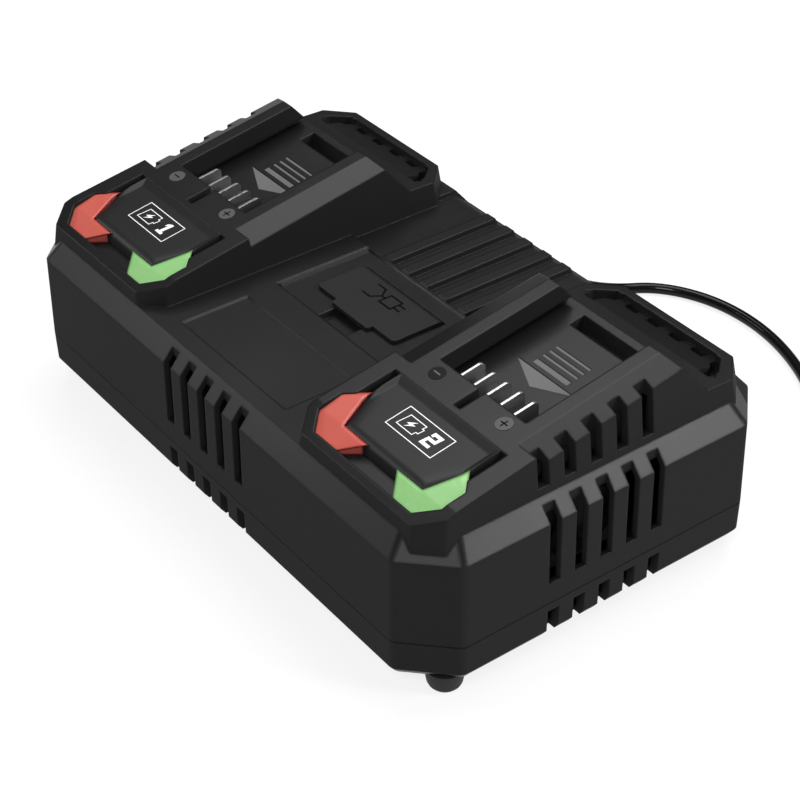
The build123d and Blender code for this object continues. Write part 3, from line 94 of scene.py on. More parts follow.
class Wire:
    """An output socket in a material. Sums, products and comparisons of wires add Math nodes."""

    def __init__(self, tree, socket):
        self.tree = tree
        self.socket = socket

    def node(self, kind, settings, sockets, output=0):
        """Add a node of one kind, make its settings, then fill its sockets with values or wires.
        A ramp's two stops are among its settings, each a place and a colour."""
        made = self.tree.nodes.new("ShaderNode" + kind)
        for name, value in settings.items():
            if name == "stops":
                for stop, (place, colour) in zip(made.color_ramp.elements, value):
                    stop.position = place
                    stop.color = (*colour, 1.0)
            else:
                setattr(made, name, value)
        for name, value in sockets.items():
            if isinstance(value, Wire):
                self.tree.links.new(value.socket, made.inputs[name])
            else:
                made.inputs[name].default_value = value
        return Wire(self.tree, made.outputs[output])

    def axis(self, letter):
        """One coordinate of a wire that carries a vector."""
        return self.node("SeparateXYZ", {}, {"Vector": self}, letter)

    def noise(self, scale, detail, **more):
        """Noise from 0 to 1, mostly near a half, over a wire that carries a place."""
        return self.node("TexNoise", {}, {"Vector": self, "Scale": scale, "Detail": detail, **more})

    def maths(self, operation, first, second=0.0):
        return self.node("Math", {"operation": operation}, {0: first, 1: second})

    def __add__(self, other):
        return self.maths("ADD", self, other)

    def __sub__(self, other):
        return self.maths("SUBTRACT", self, other)

    def __rsub__(self, other):
        return self.maths("SUBTRACT", other, self)

    def __mul__(self, other):
        return self.maths("MULTIPLY", self, other)

    def __gt__(self, other):
        return self.maths("GREATER_THAN", self, other)

    def __lt__(self, other):
        return self.maths("LESS_THAN", self, other)

    def __abs__(self):
        return self.maths("ABSOLUTE", self)

    __radd__ = __add__
    __rmul__ = __mul__


def new_material(name):
    """An empty material: its object coordinates as a wire, and its output node."""
    material = bpy.data.materials.new(name)
    material.use_nodes = True
    tree = material.node_tree
    tree.nodes.clear()
    end = tree.nodes.new("ShaderNodeOutputMaterial")
    place = Wire(tree, tree.nodes.new("ShaderNodeTexCoord").outputs["Object"])
    return material, place, end


def blend_colours(share, first, second):
    """Mix of two colours by a wire that runs from 0 to 1. Each colour is a wire, or its red, green
    and blue. The colours of a Mix node are its sockets 6 and 7, and the result is its output 2."""
    first, second = (colour if isinstance(colour, Wire) else (*colour, 1.0) for colour in (first, second))
    return share.node("Mix", {"data_type": "RGBA"}, {0: share, 6: first, 7: second}, 2)


def link_surface(surface, end):
    surface.tree.links.new(surface.socket, end.inputs["Surface"])


table_finish, place, end = new_material("white_table")
seen = place.node("LightPath", {}, {}, "Is Camera Ray")
mirrored = place.node("LightPath", {}, {}, "Is Glossy Ray")
shown = place.maths("MAXIMUM", seen, mirrored)
table_coat = place.node("BsdfDiffuse", {}, {"Color": (*TABLE_WHITE, 1.0)})
plain_white = place.node("Emission", {}, {"Color": (*WHITE, 1.0), "Strength": 1.0})
link_surface(place.node("MixShader", {}, {0: shown * PLAIN_SHARE, 1: table_coat, 2: plain_white}), end)

table_mesh = bpy.data.meshes.new("table")
table_corners = [(-TABLE_REACH, -TABLE_REACH, 0), (TABLE_REACH, -TABLE_REACH, 0),
                 (TABLE_REACH, TABLE_REACH, 0), (-TABLE_REACH, TABLE_REACH, 0)]
table_mesh.from_pydata(table_corners, [], [(0, 1, 2, 3)])
table_mesh.materials.append(table_finish)
table = bpy.data.objects.new("table", table_mesh)
bpy.context.scene.collection.objects.link(table)

for name, (spot, size, watts) in SOFT_BOXES.items():
    lamp = bpy.data.lights.new(name, "AREA")
    lamp.shape = "RECTANGLE"
    lamp.size, lamp.size_y = size
    lamp.energy = watts
    soft_box = bpy.data.objects.new(name, lamp)
    soft_box.location = spot
    soft_box.rotation_euler = (AIM - Vector(spot)).to_track_quat("-Z", "Y").to_euler()
    bpy.context.scene.collection.objects.link(soft_box)

room = bpy.data.worlds.new("studio")
room.use_nodes = True
room.node_tree.nodes["Background"].inputs["Color"].default_value = (*WHITE, 1.0)
room.node_tree.nodes["Background"].inputs["Strength"].default_value = ROOM_STRENGTH
bpy.context.scene.world = room

# --- Mains lead -------------------------------------------------------------
# Two insulated cores in a smooth round black sheath. It leaves the back of the case, drops
# to the table, runs round behind the right dock and is put away in a coil of nine turns.
LEAD = 0.0048
ROUTE = [
    (-0.0240, 0.1005, 0.0180), (-0.0240, 0.1150, 0.0180), (-0.0255, 0.1415, 0.0025),
    (-0.0139, 0.1609, 0.0025), (0.0113, 0.1730, 0.0025), (0.0441, 0.1725, 0.0025),
    (0.0794, 0.1584, 0.0025), (0.1062, 0.1356, 0.0025), (0.1230, 0.1198, 0.0025),
]
COIL_CENTRE = (0.139, 0.146)
COIL_RADII = np.array([0.0217, 0.0265, 0.0313])
COIL_LEVELS = np.array([0.0025, 0.0073, 0.0121])
# Each turn's ring and level: in along the floor, up, out, down and out again
TURNS = np.array([(2, 0), (1, 0), (0, 0), (0, 1), (0, 2), (1, 2), (1, 1), (2, 1), (2, 2)])
TURN_POINTS = 16
STEP_POINTS = 3
FIRST_POINT = 2
COIL_START = 238.0
COIL_END = 343.0
END_POINTS = 6
# From the top of the coil down to the plug's neck
TAIL = [(0.1703, 0.1490, 0.0121), (0.1703, 0.1640, 0.0071), (0.1703, 0.1730, 0.0071)]


def round_coil(degrees, radius, height):
    """Points round the coil's middle from their angles, radii and heights."""
    angle = np.radians(degrees)
    return np.column_stack([COIL_CENTRE[0] + radius * np.cos(angle),
                            COIL_CENTRE[1] + radius * np.sin(angle), height + 0 * angle])


def coil_turns():
    """Points of the coil's turns. The angle grows evenly. Radius and height hold through a turn, and
    over its last three steps they change evenly to those of the next turn."""
    number = np.arange(FIRST_POINT, len(TURNS) * TURN_POINTS)
    turn, share = np.divmod(number, TURN_POINTS)
    following = np.minimum(turn + 1, len(TURNS) - 1)
    step = np.clip((share - TURN_POINTS + STEP_POINTS) / STEP_POINTS, 0.0, None)
    radii = COIL_RADII[TURNS[:, 0]]
    heights = COIL_LEVELS[TURNS[:, 1]]
    return round_coil(COIL_START + 360.0 * number / TURN_POINTS,
                      radii[turn] + step * (radii[following] - radii[turn]),
                      heights[turn] + step * (heights[following] - heights[turn]))


# The last part of a turn lies on top of the coil, on its widest ring
last_turn = round_coil(np.linspace(COIL_START, COIL_END, END_POINTS), COIL_RADII[-1], COIL_LEVELS[-1])
lead_points = np.concatenate([ROUTE, coil_turns(), last_turn, TAIL])
lead_curve = bpy.data.curves.new("mains_lead", "CURVE")
lead_curve.dimensions = "3D"
lead_curve.bevel_depth = LEAD / 2
lead_curve.bevel_resolution = 5
lead_curve.resolution_u = 8
lead_curve.use_fill_caps = True
lead_line = lead_curve.splines.new("NURBS")
lead_line.points.add(len(lead_points) - 1)
lead_line.points.foreach_set("co", np.column_stack([lead_points, np.ones(len(lead_points))]).ravel())
lead_line.order_u = 3
lead_line.use_endpoint_u = True
lead = bpy.data.objects.new("mains_lead", lead_curve)
bpy.context.scene.collection.objects.link(lead)

sheath, place, end = new_material("black_sheath")
scuffs = place.noise(160.0, 3.0)
smears = place.noise(22.0, 2.0)
sheath_bump = place.node("Bump", {}, {"Strength": 0.12, "Distance": 0.0002, "Height": scuffs})
link_surface(place.node("BsdfPrincipled", {}, {
    "Base Color": blend_colours(smears, (0.002, 0.002, 0.0022), (0.006, 0.006, 0.0065)),
    "Specular IOR Level": 0.1, "Roughness": smears * 0.1 + 0.15, "Normal": sheath_bump,
    "Coat Weight": 0.12, "Coat Roughness": 0.06}), end)
lead_curve.materials.append(sheath)
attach(lead, "charger")
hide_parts("cord", "cord_coil")

# --- Case -------------------------------------------------------------------
# Two halves of black glass-filled nylon, moulded with a fine spark-eroded grain. Their walls meet in a thin
# sunk line, painted black as the shade in the gap, and every outer edge has a small radius.
SPLIT = 0.0245
SPLIT_HALF = 0.0004
SPLIT_SINK = 4.0
# Painted shade: colour of the gap between the halves
SPLIT_PAINTED_SHADE = (0.0008, 0.0008, 0.0008)
BACK_EDGE = 0.0712
WALL_LEAN = 0.3


def moulded(name, dark, light, grain, depth, roughness, edge, gloss=0.18, split=False):
    """Moulded plastic: fine noise as its grain, slow noise for tone and sheen, edges shaded round, and
    a duller finish on upright walls. With split, the halves meet in a sunk line painted near black as the
    shade in the gap, and the back edge is dull too. The two noises add 0.11 to the roughness on average,
    which is taken off again."""
    material, place, end = new_material(name)
    fine = place.noise(1.0 / grain, 3.0, Roughness=0.6)
    slow = place.noise(24.0, 3.0)
    rounded = place.node("Bevel", {"samples": 6}, {"Radius": edge})
    tone = blend_colours(slow * 0.6 + fine * 0.4, dark, light)
    relief = fine
    dull = abs(place.node("NewGeometry", {}, {}, "True Normal").axis("Z")) < WALL_LEAN
    if split:
        seam = abs(place.axis("Z") - SPLIT) < SPLIT_HALF
        # Painted shade: the seam between the halves is coloured near black
        tone = blend_colours(seam, tone, SPLIT_PAINTED_SHADE)
        relief = fine - seam * SPLIT_SINK
        dull = dull + (place.axis("Y") > BACK_EDGE) > 0.5
    grained = place.node("Bump", {}, {"Strength": 0.5, "Distance": depth, "Height": relief,
                                      "Normal": rounded})
    link_surface(place.node("BsdfPrincipled", {}, {
        "Base Color": tone, "Roughness": slow * 0.1 + fine * 0.12 + dull * 0.5 + (roughness - 0.11),
        "Normal": grained, "Specular IOR Level": gloss}), end)
    return material


def dress(material, *nodes):
    """Give carried-over CAD nodes one material."""
    for node in nodes:
        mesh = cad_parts[node].data
        mesh.materials.clear()
        mesh.materials.append(material)


case_plastic = moulded("case_plastic", (0.006, 0.006, 0.0064), (0.0115, 0.0115, 0.0121), grain=0.00045,
                       depth=0.00006, roughness=0.35, edge=0.0011, split=True)
dress(case_plastic, "upper_housing", "lower_housing")

# --- Label tiles ------------------------------------------------------------
# One smooth black tile clips into the front of each dock. Its label field is sunk between
# raised sides and a raised back, and its nose rolls over to the front.
MM = 0.001
DOCKS = {"left": -85.0, "right": 85.0}
DOCK_TOP = 86.15
DOCK_SLOPE = 0.167
TILE_HALF = 27.4
NOSE_HALF = 22.2
NOSE_Y = -61.6
SHOULDER_Y = -49.0
TILE_BACK = -32.75
TILE_THICK = 6.1
FIELD_SINK = 1.0
FIELD_RIM = 0.15
FIELD_SIDE = 2.0
FIELD_BACK = 3.4
NOSE_FALL = 3.6
NOSE_ROUND = 3.8
SHARP_ANGLE = math.radians(35)


def dock_plane(y, drop=0.0):
    """Height of a dock's sloping top at y, or of the plane a drop under it: it climbs to the back."""
    return DOCK_TOP + DOCK_SLOPE * y - drop


def carried(sections, closed=False):
    """Skin of a closed profile carried along a path. The array has a row for each station and a column
    for each point of the profile. Neighbours join in fours, and unless the path closes, its ends are
    capped."""
    rows, columns = sections.shape[:2]
    row, column = np.meshgrid(np.arange(rows if closed else rows - 1), np.arange(columns), indexing="ij")
    after, beside = (row + 1) % rows, (column + 1) % columns
    fours = np.stack([row * columns + column, row * columns + beside, after * columns + beside,
                      after * columns + column], axis=-1).reshape(-1, 4)
    first_end = np.arange(columns)[None]
    ends = [] if closed else [first_end, (rows - 1) * columns + first_end]
    return sections.reshape(-1, 3), [fours, *ends]


def put_piece(name, skins, material, body="charger", nodes=(), smooth=False, edge=0.0):
    """One object from closed skins in millimetres: their corners stand end to end, and each skin's
    faces count on from the corners before it. It rides on a body, has a material, stands for CAD
    nodes, and may be shaded smooth or have rounded edges."""
    starts = np.cumsum([0] + [len(corners) for corners, blocks in skins])
    faces = [face for start, (corners, blocks) in zip(starts, skins) for block in blocks
             for face in (block + start).tolist()]
    mesh = bpy.data.meshes.new(name)
    mesh.from_pydata((np.concatenate([corners for corners, blocks in skins]) * MM).tolist(), [], faces)
    shell = bmesh.new()
    shell.from_mesh(mesh)
    bmesh.ops.recalc_face_normals(shell, faces=shell.faces)
    shell.to_mesh(mesh)
    shell.free()
    if smooth:
        mesh.shade_smooth()
        mesh.set_sharp_from_angle(angle=SHARP_ANGLE)
    mesh.materials.append(material)
    piece = bpy.data.objects.new(name, mesh)
    bpy.context.scene.collection.objects.link(piece)
    if edge:
        rounding = piece.modifiers.new("edge", "BEVEL")
        rounding.width = edge * MM
        rounding.segments = 2
    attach(piece, body)
    if nodes:
        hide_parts(*nodes)


def tile_skin(centre):
    """Label tile as cross-sections from nose to back, closest together at its edges. Top = dock plane
    - field - fall. The field is sunk and climbs back to the plane in a straight slope at the sides and
    the back. The fall is a quarter of an ellipse, measured in from the nose and its two cut corners."""
    along = np.concatenate([np.linspace(0, 0.15, 14), np.linspace(0.18, 0.82, 8), np.linspace(0.85, 1, 12)])
    across = np.concatenate([np.linspace(-1, -0.9, 10), np.linspace(-0.85, 0.85, 14),
                             np.linspace(0.9, 1, 10)])
    y = (NOSE_Y + (TILE_BACK - NOSE_Y) * along)[:, None]
    x = np.interp(y, [NOSE_Y, SHOULDER_Y], [NOSE_HALF, TILE_HALF]) * across
    side_climb = (TILE_HALF - FIELD_RIM - abs(x)) / FIELD_SIDE
    back_climb = (TILE_BACK - y) / FIELD_BACK
    field = np.clip(np.minimum(side_climb, back_climb), 0, 1)
    cut = np.hypot(SHOULDER_Y - NOSE_Y, TILE_HALF - NOSE_HALF)
    corner = ((NOSE_HALF - abs(x)) * (SHOULDER_Y - NOSE_Y) + (y - NOSE_Y) * (TILE_HALF - NOSE_HALF)) / cut
    near = np.clip(1 - np.minimum(y - NOSE_Y, corner) / NOSE_ROUND, 0, 1)
    top = dock_plane(y) - FIELD_SINK * field - NOSE_FALL * (1 - np.sqrt(1 - near ** 2))
    sections = np.stack([centre + x, y + 0 * x, top], axis=-1)
    feet = sections[:, [-1, 0]].copy()
    feet[..., 2] = dock_plane(feet[..., 1], TILE_THICK)
    return carried(np.concatenate([sections, feet], axis=1))


tile_plastic = moulded("tile_plastic", (0.009, 0.009, 0.0095), (0.015, 0.015, 0.0158), grain=0.0004,
                       depth=0.00003, roughness=0.42, edge=0.0005)
for side, centre in DOCKS.items():
    put_piece(f"tile_{side}", [tile_skin(centre)], tile_plastic, nodes=[f"label_tile_{side}"],
              smooth=True)

# --- Dock signs -------------------------------------------------------------
# Pad-printed in white on each label field: a thin frame, a battery in outline and the
# number of the dock, 1 on the left and 2 on the right.
INK = 0.07
THIN_LINE = 0.3
NUMBER_LINE = 1.3
SIGN_Y = -45.2
SIGN_SLANT = 0.15
SIGN_FRAME = np.array([(-12.4, -50.6), (12.4, -50.6), (12.4, -39.8), (-12.4, -39.8)])
NUMBER_ONE = [(-1.9, -3.3), (1.9, -3.3), (1.9, -2.1), (0.75, -2.1), (0.75, 3.3), (-0.55, 3.3),
              (-1.9, 2.3), (-1.9, 0.9), (-0.75, 1.7), (-0.75, -2.1), (-1.9, -2.1)]
NUMBER_TWO = [(-1.75, 1.35), (-1.75, 2.65), (1.75, 2.65), (1.75, 0.0), (-1.75, 0.0), (-1.75, -2.65),
              (2.4, -2.65)]
CELL = [(-4.6, -2.9), (4.0, -2.9), (4.0, -1.25), (5.0, -1.25), (5.0, 1.25), (4.0, 1.25), (4.0, 2.9),
        (-4.6, 2.9)]
CELL_MARK = [(0.9, 2.1), (-2.1, -0.35), (-0.35, -0.35), (-1.4, -2.1), (1.7, 0.4), (-0.1, 0.4)]
# How far right of the dock's middle each sign stands
ONE_SHIFT = 6.6
TWO_SHIFT = 6.2
CELL_SHIFT = -4.6
CELL_MARK_SHIFT = -4.9


def plate(outline, ground, rise):
    """Flat plate: an outline in plan, rising from a ground whose height follows from x and y."""
    outline = np.asarray(outline, float)
    level = ground(outline[:, 0], outline[:, 1])
    return carried(np.stack([np.column_stack([outline, level]), np.column_stack([outline, level + rise])]))


def side_steps(path, closed):
    """Step to the left at each point of a path in plan that makes a line one wide, also in a corner:
    the sum of the two neighbouring normals over one plus their product."""
    after = np.roll(path, -1, axis=0) - path
    if not closed:
        after[-1] = after[-2]
    after /= np.linalg.norm(after, axis=1, keepdims=True)
    before = np.roll(after, 1, axis=0)
    if not closed:
        before[0] = after[0]
    left_after = after[:, ::-1] * (-1, 1)
    left_before = before[:, ::-1] * (-1, 1)
    return (left_after + left_before) / (1 + (left_after * left_before).sum(axis=1, keepdims=True))


def stroke(path, width, ground, low, high, closed=False):
    """Drawn line: an upright rectangle carried along a path in plan, from low to high over the ground."""
    path = np.asarray(path, float)
    step = side_steps(path, closed)
    sides = np.stack([path + step * width / 2, path - step * width / 2], axis=1)[:, [0, 1, 1, 0]]
    level = ground(sides[..., 0], sides[..., 1]) + np.array([low, low, high, high])
    return carried(np.concatenate([sides, level[..., None]], axis=-1), closed)


def label_field(x, y):
    """Ground of the label fields: the dock's plane less the sink of the field."""
    return dock_plane(y, FIELD_SINK)


def sign_at(points, centre, shift):
    """Points of a sign about its own middle, slanted in proportion to y, moved to its place on a tile."""
    points = np.asarray(points, float)
    return np.column_stack([centre + shift + points[:, 0] + SIGN_SLANT * points[:, 1], SIGN_Y + points[:, 1]])


sign_white, place, end = new_material("sign_white")
dots = place.noise(2500.0, 2.0)
link_surface(place.node("BsdfPrincipled", {}, {
    "Base Color": blend_colours(dots, (0.74, 0.74, 0.74), (0.9, 0.9, 0.9)),
    "Roughness": dots * 0.2 + 0.4}), end)
numbers = {
    "left": plate(sign_at(NUMBER_ONE, DOCKS["left"], ONE_SHIFT), label_field, INK),
    "right": stroke(sign_at(NUMBER_TWO, DOCKS["right"], TWO_SHIFT), NUMBER_LINE, label_field, 0.0, INK),
}
for side, centre in DOCKS.items():
    put_piece(f"dock_sign_{side}", [
        stroke(SIGN_FRAME + (centre, 0), THIN_LINE, label_field, 0.0, INK, closed=True),
        stroke(sign_at(CELL, centre, CELL_SHIFT), THIN_LINE, label_field, 0.0, INK, closed=True),
        plate(sign_at(CELL_MARK, centre, CELL_MARK_SHIFT), label_field, INK),
        numbers[side]], sign_white)

# --- Light pipes ------------------------------------------------------------
# Tinted polycarbonate, cloudy inside, wrapped round the front corners of each tile: red on
# the left, green on the right. Chips under the deck light them from below. In this model the pipes' pale
# middles and faint glow are painted light.
PIPE_PLAN = np.array([(27.6, -47.0), (27.3, -49.6), (22.45, -61.7), (10.0, -61.75), (17.7, -69.35),
                      (27.2, -69.35), (34.1, -62.5), (34.1, -61.6), (34.1, -53.2)])
PIPE_SINK = 6.15
PIPE_FLARE = 0.8
PIPE_LIP = 0.7
# Where the slope of a pipe's top starts, changes and ends
PIPE_TOP_Y = [-69.5, -61.6, -47.0]
PIPE_TOP_Z = [70.3, 74.25, 78.35]
# Emission of the pipes, a painted glow
PIPE_GLOW = 0.05
BLACK = (0.0, 0.0, 0.0)


def pipe_height(y):
    """Top of a pipe by y: one slope beside the tile, a steeper one in front of it."""
    return np.interp(y, PIPE_TOP_Y, PIPE_TOP_Z)


def pipe_skin(centre, hand):
    """Light pipe as three outlines over each other: at its foot, under its lip, and at its top, where
    each corner is moved out by its side step times the flare."""
    plan = PIPE_PLAN * (hand, 1)
    top = plan - hand * PIPE_FLARE * side_steps(plan, closed=True)
    rings = np.stack([
        np.column_stack([plan, dock_plane(plan[:, 1], PIPE_SINK)]),
        np.column_stack([plan, pipe_height(plan[:, 1]) - PIPE_LIP]),
        np.column_stack([top, pipe_height(top[:, 1])])]) + (centre, 0, 0)
    corners, blocks = carried(rings)
    # The top is cut in two where its slope changes
    top_start = 2 * len(plan)
    behind = top_start + np.array([[0, 1, 2, 7, 8]])
    ahead = top_start + np.array([[2, 3, 4, 5, 6, 7]])
    return corners, [*blocks[:-1], behind, ahead]


def light_pipe(name, deep, pale):
    """Tinted plastic with a faint painted glow. Its colour runs from deep at the edges, where the rounded
    normal leaves the true one, to pale within, a painted light, and slow noise clouds it."""
    material, place, end = new_material(name)
    clouds = place.noise(70.0, 2.0, Distortion=0.4)
    rounded = place.node("Bevel", {"samples": 8}, {"Radius": 0.0012})
    true_normal = place.node("NewGeometry", {}, {}, "True Normal")
    inside = place.node("VectorMath", {"operation": "DOT_PRODUCT"}, {0: rounded, 1: true_normal}, "Value")
    # Painted light: the middles of the faces are paled
    share = place.node("ValToRGB", {"stops": [(0.4, BLACK), (1.0, WHITE)]}, {0: inside * 0.75 + clouds * 0.5})
    tint = blend_colours(share, deep, pale)
    link_surface(place.node("BsdfPrincipled", {}, {
        "Base Color": tint, "Roughness": clouds * 0.15 + 0.2, "Normal": rounded, "Specular IOR Level": 0.3,
        "Emission Color": tint, "Emission Strength": PIPE_GLOW}), end)
    return material


red_light = light_pipe("red_pipe", (0.36, 0.03, 0.023), (0.42, 0.085, 0.066))
green_light = light_pipe("green_pipe", (0.09, 0.29, 0.065), (0.2, 0.4, 0.155))
for side, centre in DOCKS.items():
    for colour, hand, finish in (("red", -1, red_light), ("green", 1, green_light)):
        put_piece(f"pipe_{colour}_{side}", [pipe_skin(centre, hand)], finish,
                  nodes=[f"light_{colour}_{side}"])

# --- Marks of the bays ------------------------------------------------------
# Moulded into each bay's floor: an arrow that shows which way the pack slides, and grip
# stripes behind it. Their lighter grey is painted light and the dark strips behind them are painted shade.
# A disc with a minus and one with a plus stand beside the contacts.
FLOOR_DROP = 11.2
MARK_RISE = 0.12
ARROW_HALF = 14.8
ARROW_TIP = 2.2
ARROW_BACK = 9.1
STRIPE_HALF = 9.05
STRIPES = [(11.2, 13.3), (15.6, 16.5), (18.5, 19.4), (21.5, 22.4)]
# Painted shade: dark strips behind the arrow and each stripe, where their back walls stand in shadow
SHADE_RISE = 0.08
ARROW_SHADE = 0.45
STRIPE_SHADE = 0.4
DISC_X = 18.25
DISC_Y = -24.1
DISC_RADIUS = 3.25
DISC_SIDES = 48
DISC_RISE = 0.18
DISC_EDGE = 0.1
BAR_HALF = 1.7
BAR_WIDTH = 0.5
BAR_LOW = 0.1
BAR_HIGH = 0.24
# The plus's second bar lies a hair lower, so that no two faces share a plane
CROSSING_HIGH = 0.235


def bay_floor(x, y):
    """Ground of the bay floors: the dock's plane less the depth of the bay."""
    return dock_plane(y, FLOOR_DROP)


def dock_face(x, y):
    """Ground of the docks' tops."""
    return dock_plane(y)


def stripe(centre, half, front, back):
    """Corners of a stripe that lies across a dock."""
    return [(centre - half, front), (centre + half, front), (centre + half, back), (centre - half, back)]


around = np.linspace(0, 2 * np.pi, DISC_SIDES, endpoint=False)
circle = DISC_RADIUS * np.column_stack([np.cos(around), np.sin(around)])
FLAT_MOULD = {"grain": 0.0004, "depth": 0.00003, "edge": 0.0001}
# Painted light: lighter grey for the sunk marks' floors where they face the lamps, and a painted highlight on
# the right minus
mark_painted_light = moulded("mark_painted_light", (0.085, 0.085, 0.086), (0.125, 0.125, 0.126), roughness=0.5, **FLAT_MOULD)
# Near black: painted shade for the marks' back walls and the cover's grooves, and the dark plus and minus
# signs
painted_shade_and_sign_black = moulded("painted_shade_and_sign_black", (0.002, 0.002, 0.002), (0.004, 0.004, 0.004), roughness=0.8, gloss=0.02,
                     **FLAT_MOULD)
# Painted shade: the right minus disc is darkened as if it lay in shadow
disc_painted_shade = moulded("disc_painted_shade", (0.006, 0.006, 0.006), (0.011, 0.011, 0.011), roughness=0.4, gloss=0.05,
                    **FLAT_MOULD)
disc_grey = moulded("disc_grey", (0.05, 0.05, 0.05), (0.075, 0.075, 0.075), roughness=0.45, **FLAT_MOULD)
# Materials of the minus's disc and of the minus itself in each dock. On the right the disc is a painted shade
# and its minus a painted highlight
MINUS_LOOKS = {"left": (disc_grey, painted_shade_and_sign_black), "right": (disc_painted_shade, mark_painted_light)}
for side, centre in DOCKS.items():
    arrow = [(centre - ARROW_HALF, ARROW_BACK), (centre, ARROW_TIP), (centre + ARROW_HALF, ARROW_BACK)]
    # The marks' lighter grey is painted light, standing for their sunk floors facing the lamps
    put_piece(f"slide_marks_{side}", [
        plate(arrow, bay_floor, MARK_RISE),
        *(plate(stripe(centre, STRIPE_HALF, front, back), bay_floor, MARK_RISE) for front, back in STRIPES)],
        mark_painted_light)
    # Painted shade along the back walls of the marks
    put_piece(f"slide_mark_shades_{side}", [
        plate(stripe(centre, ARROW_HALF, ARROW_BACK, ARROW_BACK + ARROW_SHADE), bay_floor, SHADE_RISE),
        *(plate(stripe(centre, STRIPE_HALF, back, back + STRIPE_SHADE), bay_floor, SHADE_RISE)
          for front, back in STRIPES)],
        painted_shade_and_sign_black)
    minus_disc, minus_bar = MINUS_LOOKS[side]
    minus_x, plus_x = centre - DISC_X, centre + DISC_X
    put_piece(f"disc_minus_{side}", [plate(circle + (minus_x, DISC_Y), dock_face, DISC_RISE)],
              minus_disc, edge=DISC_EDGE)
    put_piece(f"disc_plus_{side}", [plate(circle + (plus_x, DISC_Y), dock_face, DISC_RISE)],
              disc_grey, edge=DISC_EDGE)
    put_piece(f"plus_{side}", [
        stroke([(plus_x - BAR_HALF, DISC_Y), (plus_x + BAR_HALF, DISC_Y)], BAR_WIDTH, dock_face,
               BAR_LOW, BAR_HIGH),
        stroke([(plus_x, DISC_Y - BAR_HALF), (plus_x, DISC_Y + BAR_HALF)], BAR_WIDTH, dock_face,
               BAR_LOW, CROSSING_HIGH)], painted_shade_and_sign_black)
    put_piece(f"minus_{side}", [
        stroke([(minus_x - BAR_HALF, DISC_Y), (minus_x + BAR_HALF, DISC_Y)], BAR_WIDTH, dock_face,
               BAR_LOW, BAR_HIGH)], minus_bar)

# --- Contacts ---------------------------------------------------------------
# Tin-plated blades, stamped from sheet, with faint drawing lines. Five stand in a moulded
# block under each bay's floor.
BLADES = 5


def metal(name, dark, light, roughness, lines, edge, shine=1.0):
    """Bare metal: noise stretched into drawing lines sets its tone and its gloss."""
    material, place, end = new_material(name)
    drawn = place.node("Mapping", {}, {"Vector": place, "Scale": lines}).noise(1.0, 3.0)
    rounded = place.node("Bevel", {"samples": 4}, {"Radius": edge})
    link_surface(place.node("BsdfPrincipled", {}, {
        "Base Color": blend_colours(drawn, dark, light), "Metallic": shine,
        "Roughness": drawn * 0.2 + (roughness - 0.1), "Normal": rounded}), end)
    return material


tinned_blade = metal("tinned_blade", (0.3, 0.3, 0.31), (0.5, 0.5, 0.51), roughness=0.3,
                     lines=(400.0, 60.0, 900.0), edge=0.00022, shine=0.9)
block_plastic = moulded("block_plastic", (0.008, 0.008, 0.0085), (0.014, 0.014, 0.015), grain=0.0004,
                        depth=0.00004, roughness=0.5, edge=0.0003)
for side in DOCKS:
    dress(tinned_blade, *(f"contact_{side}_{number}" for number in range(1, BLADES + 1)))
    dress(block_plastic, f"terminal_block_{side}")

# --- USB cover --------------------------------------------------------------
# Thin moulded flap on a steel pin, with a lifting tab. A plug with a forked lead is engraved
# in its face, its grooves drawn as thin black lines, a painted shade. Two sockets with steel shells sit under
# it.
COVER_FACE = 66.8
SYMBOL_MIDDLE = (2.1, 3.0)
SYMBOL_LINE = 0.8
SYMBOL_LOW = -0.1
SYMBOL_HIGH = 0.05
# The plug's body, its two prongs and the two branches of its lead: each path, and if it closes
SYMBOL = [
    ([(-2.6, -3.0), (4.2, -3.0), (4.2, 3.0), (-2.6, 3.0)], True),
    ([(4.2, -1.4), (8.0, -1.4)], False),
    ([(4.2, 1.4), (8.0, 1.4)], False),
    ([(-2.6, 0.0), (-4.8, 0.0), (-7.4, 3.8), (-12.2, 3.8)], False),
    ([(-4.8, 0.0), (-7.4, -3.8), (-12.2, -3.8)], False),
]
# A small slope along the left wall of the cover's bay: its section, and where it ends in y
SLOPE_X = [-34.05, -34.05, -32.5]
SLOPE_Z = [65.15, 66.38, 65.15]
SLOPE_ENDS = [-22.2, 18.9]


def cover_face(x, y):
    """Ground of the cover: a level face."""
    return COVER_FACE + 0 * x


cover_plastic = moulded("cover_plastic", (0.007, 0.007, 0.0075), (0.012, 0.012, 0.0128), grain=0.0004,
                        depth=0.00003, roughness=0.44, edge=0.0005)
dress(cover_plastic, "usb_cover")
bay_slope = np.stack([np.column_stack([SLOPE_X, np.full(len(SLOPE_X), y), SLOPE_Z]) for y in SLOPE_ENDS])
put_piece("bay_slope", [carried(bay_slope)], cover_plastic)
# Painted shade: the symbol's grooves are near-black lines sunk a hair into the face
put_piece("cover_symbol", [
    stroke(np.asarray(path) + SYMBOL_MIDDLE, SYMBOL_LINE, cover_face, SYMBOL_LOW, SYMBOL_HIGH, closed)
    for path, closed in SYMBOL], painted_shade_and_sign_black, body="usb_cover")
bright_steel = metal("bright_steel", (0.42, 0.42, 0.43), (0.66, 0.66, 0.67), roughness=0.36,
                     lines=(700.0, 90.0, 300.0), edge=0.00015)
dress(bright_steel, "hinge_pin", "usb_port_1", "usb_port_2")
dress(block_plastic, "usb_socket")

# --- Feet and screws --------------------------------------------------------
# Tapered feet of black rubber, pressed into the underside, and steel cross-head screws that
# hold the two halves together.
FOOT_AT = [(-121.5, -62.8), (121.5, -62.8), (-115.0, 62.8), (115.0, 62.8)]
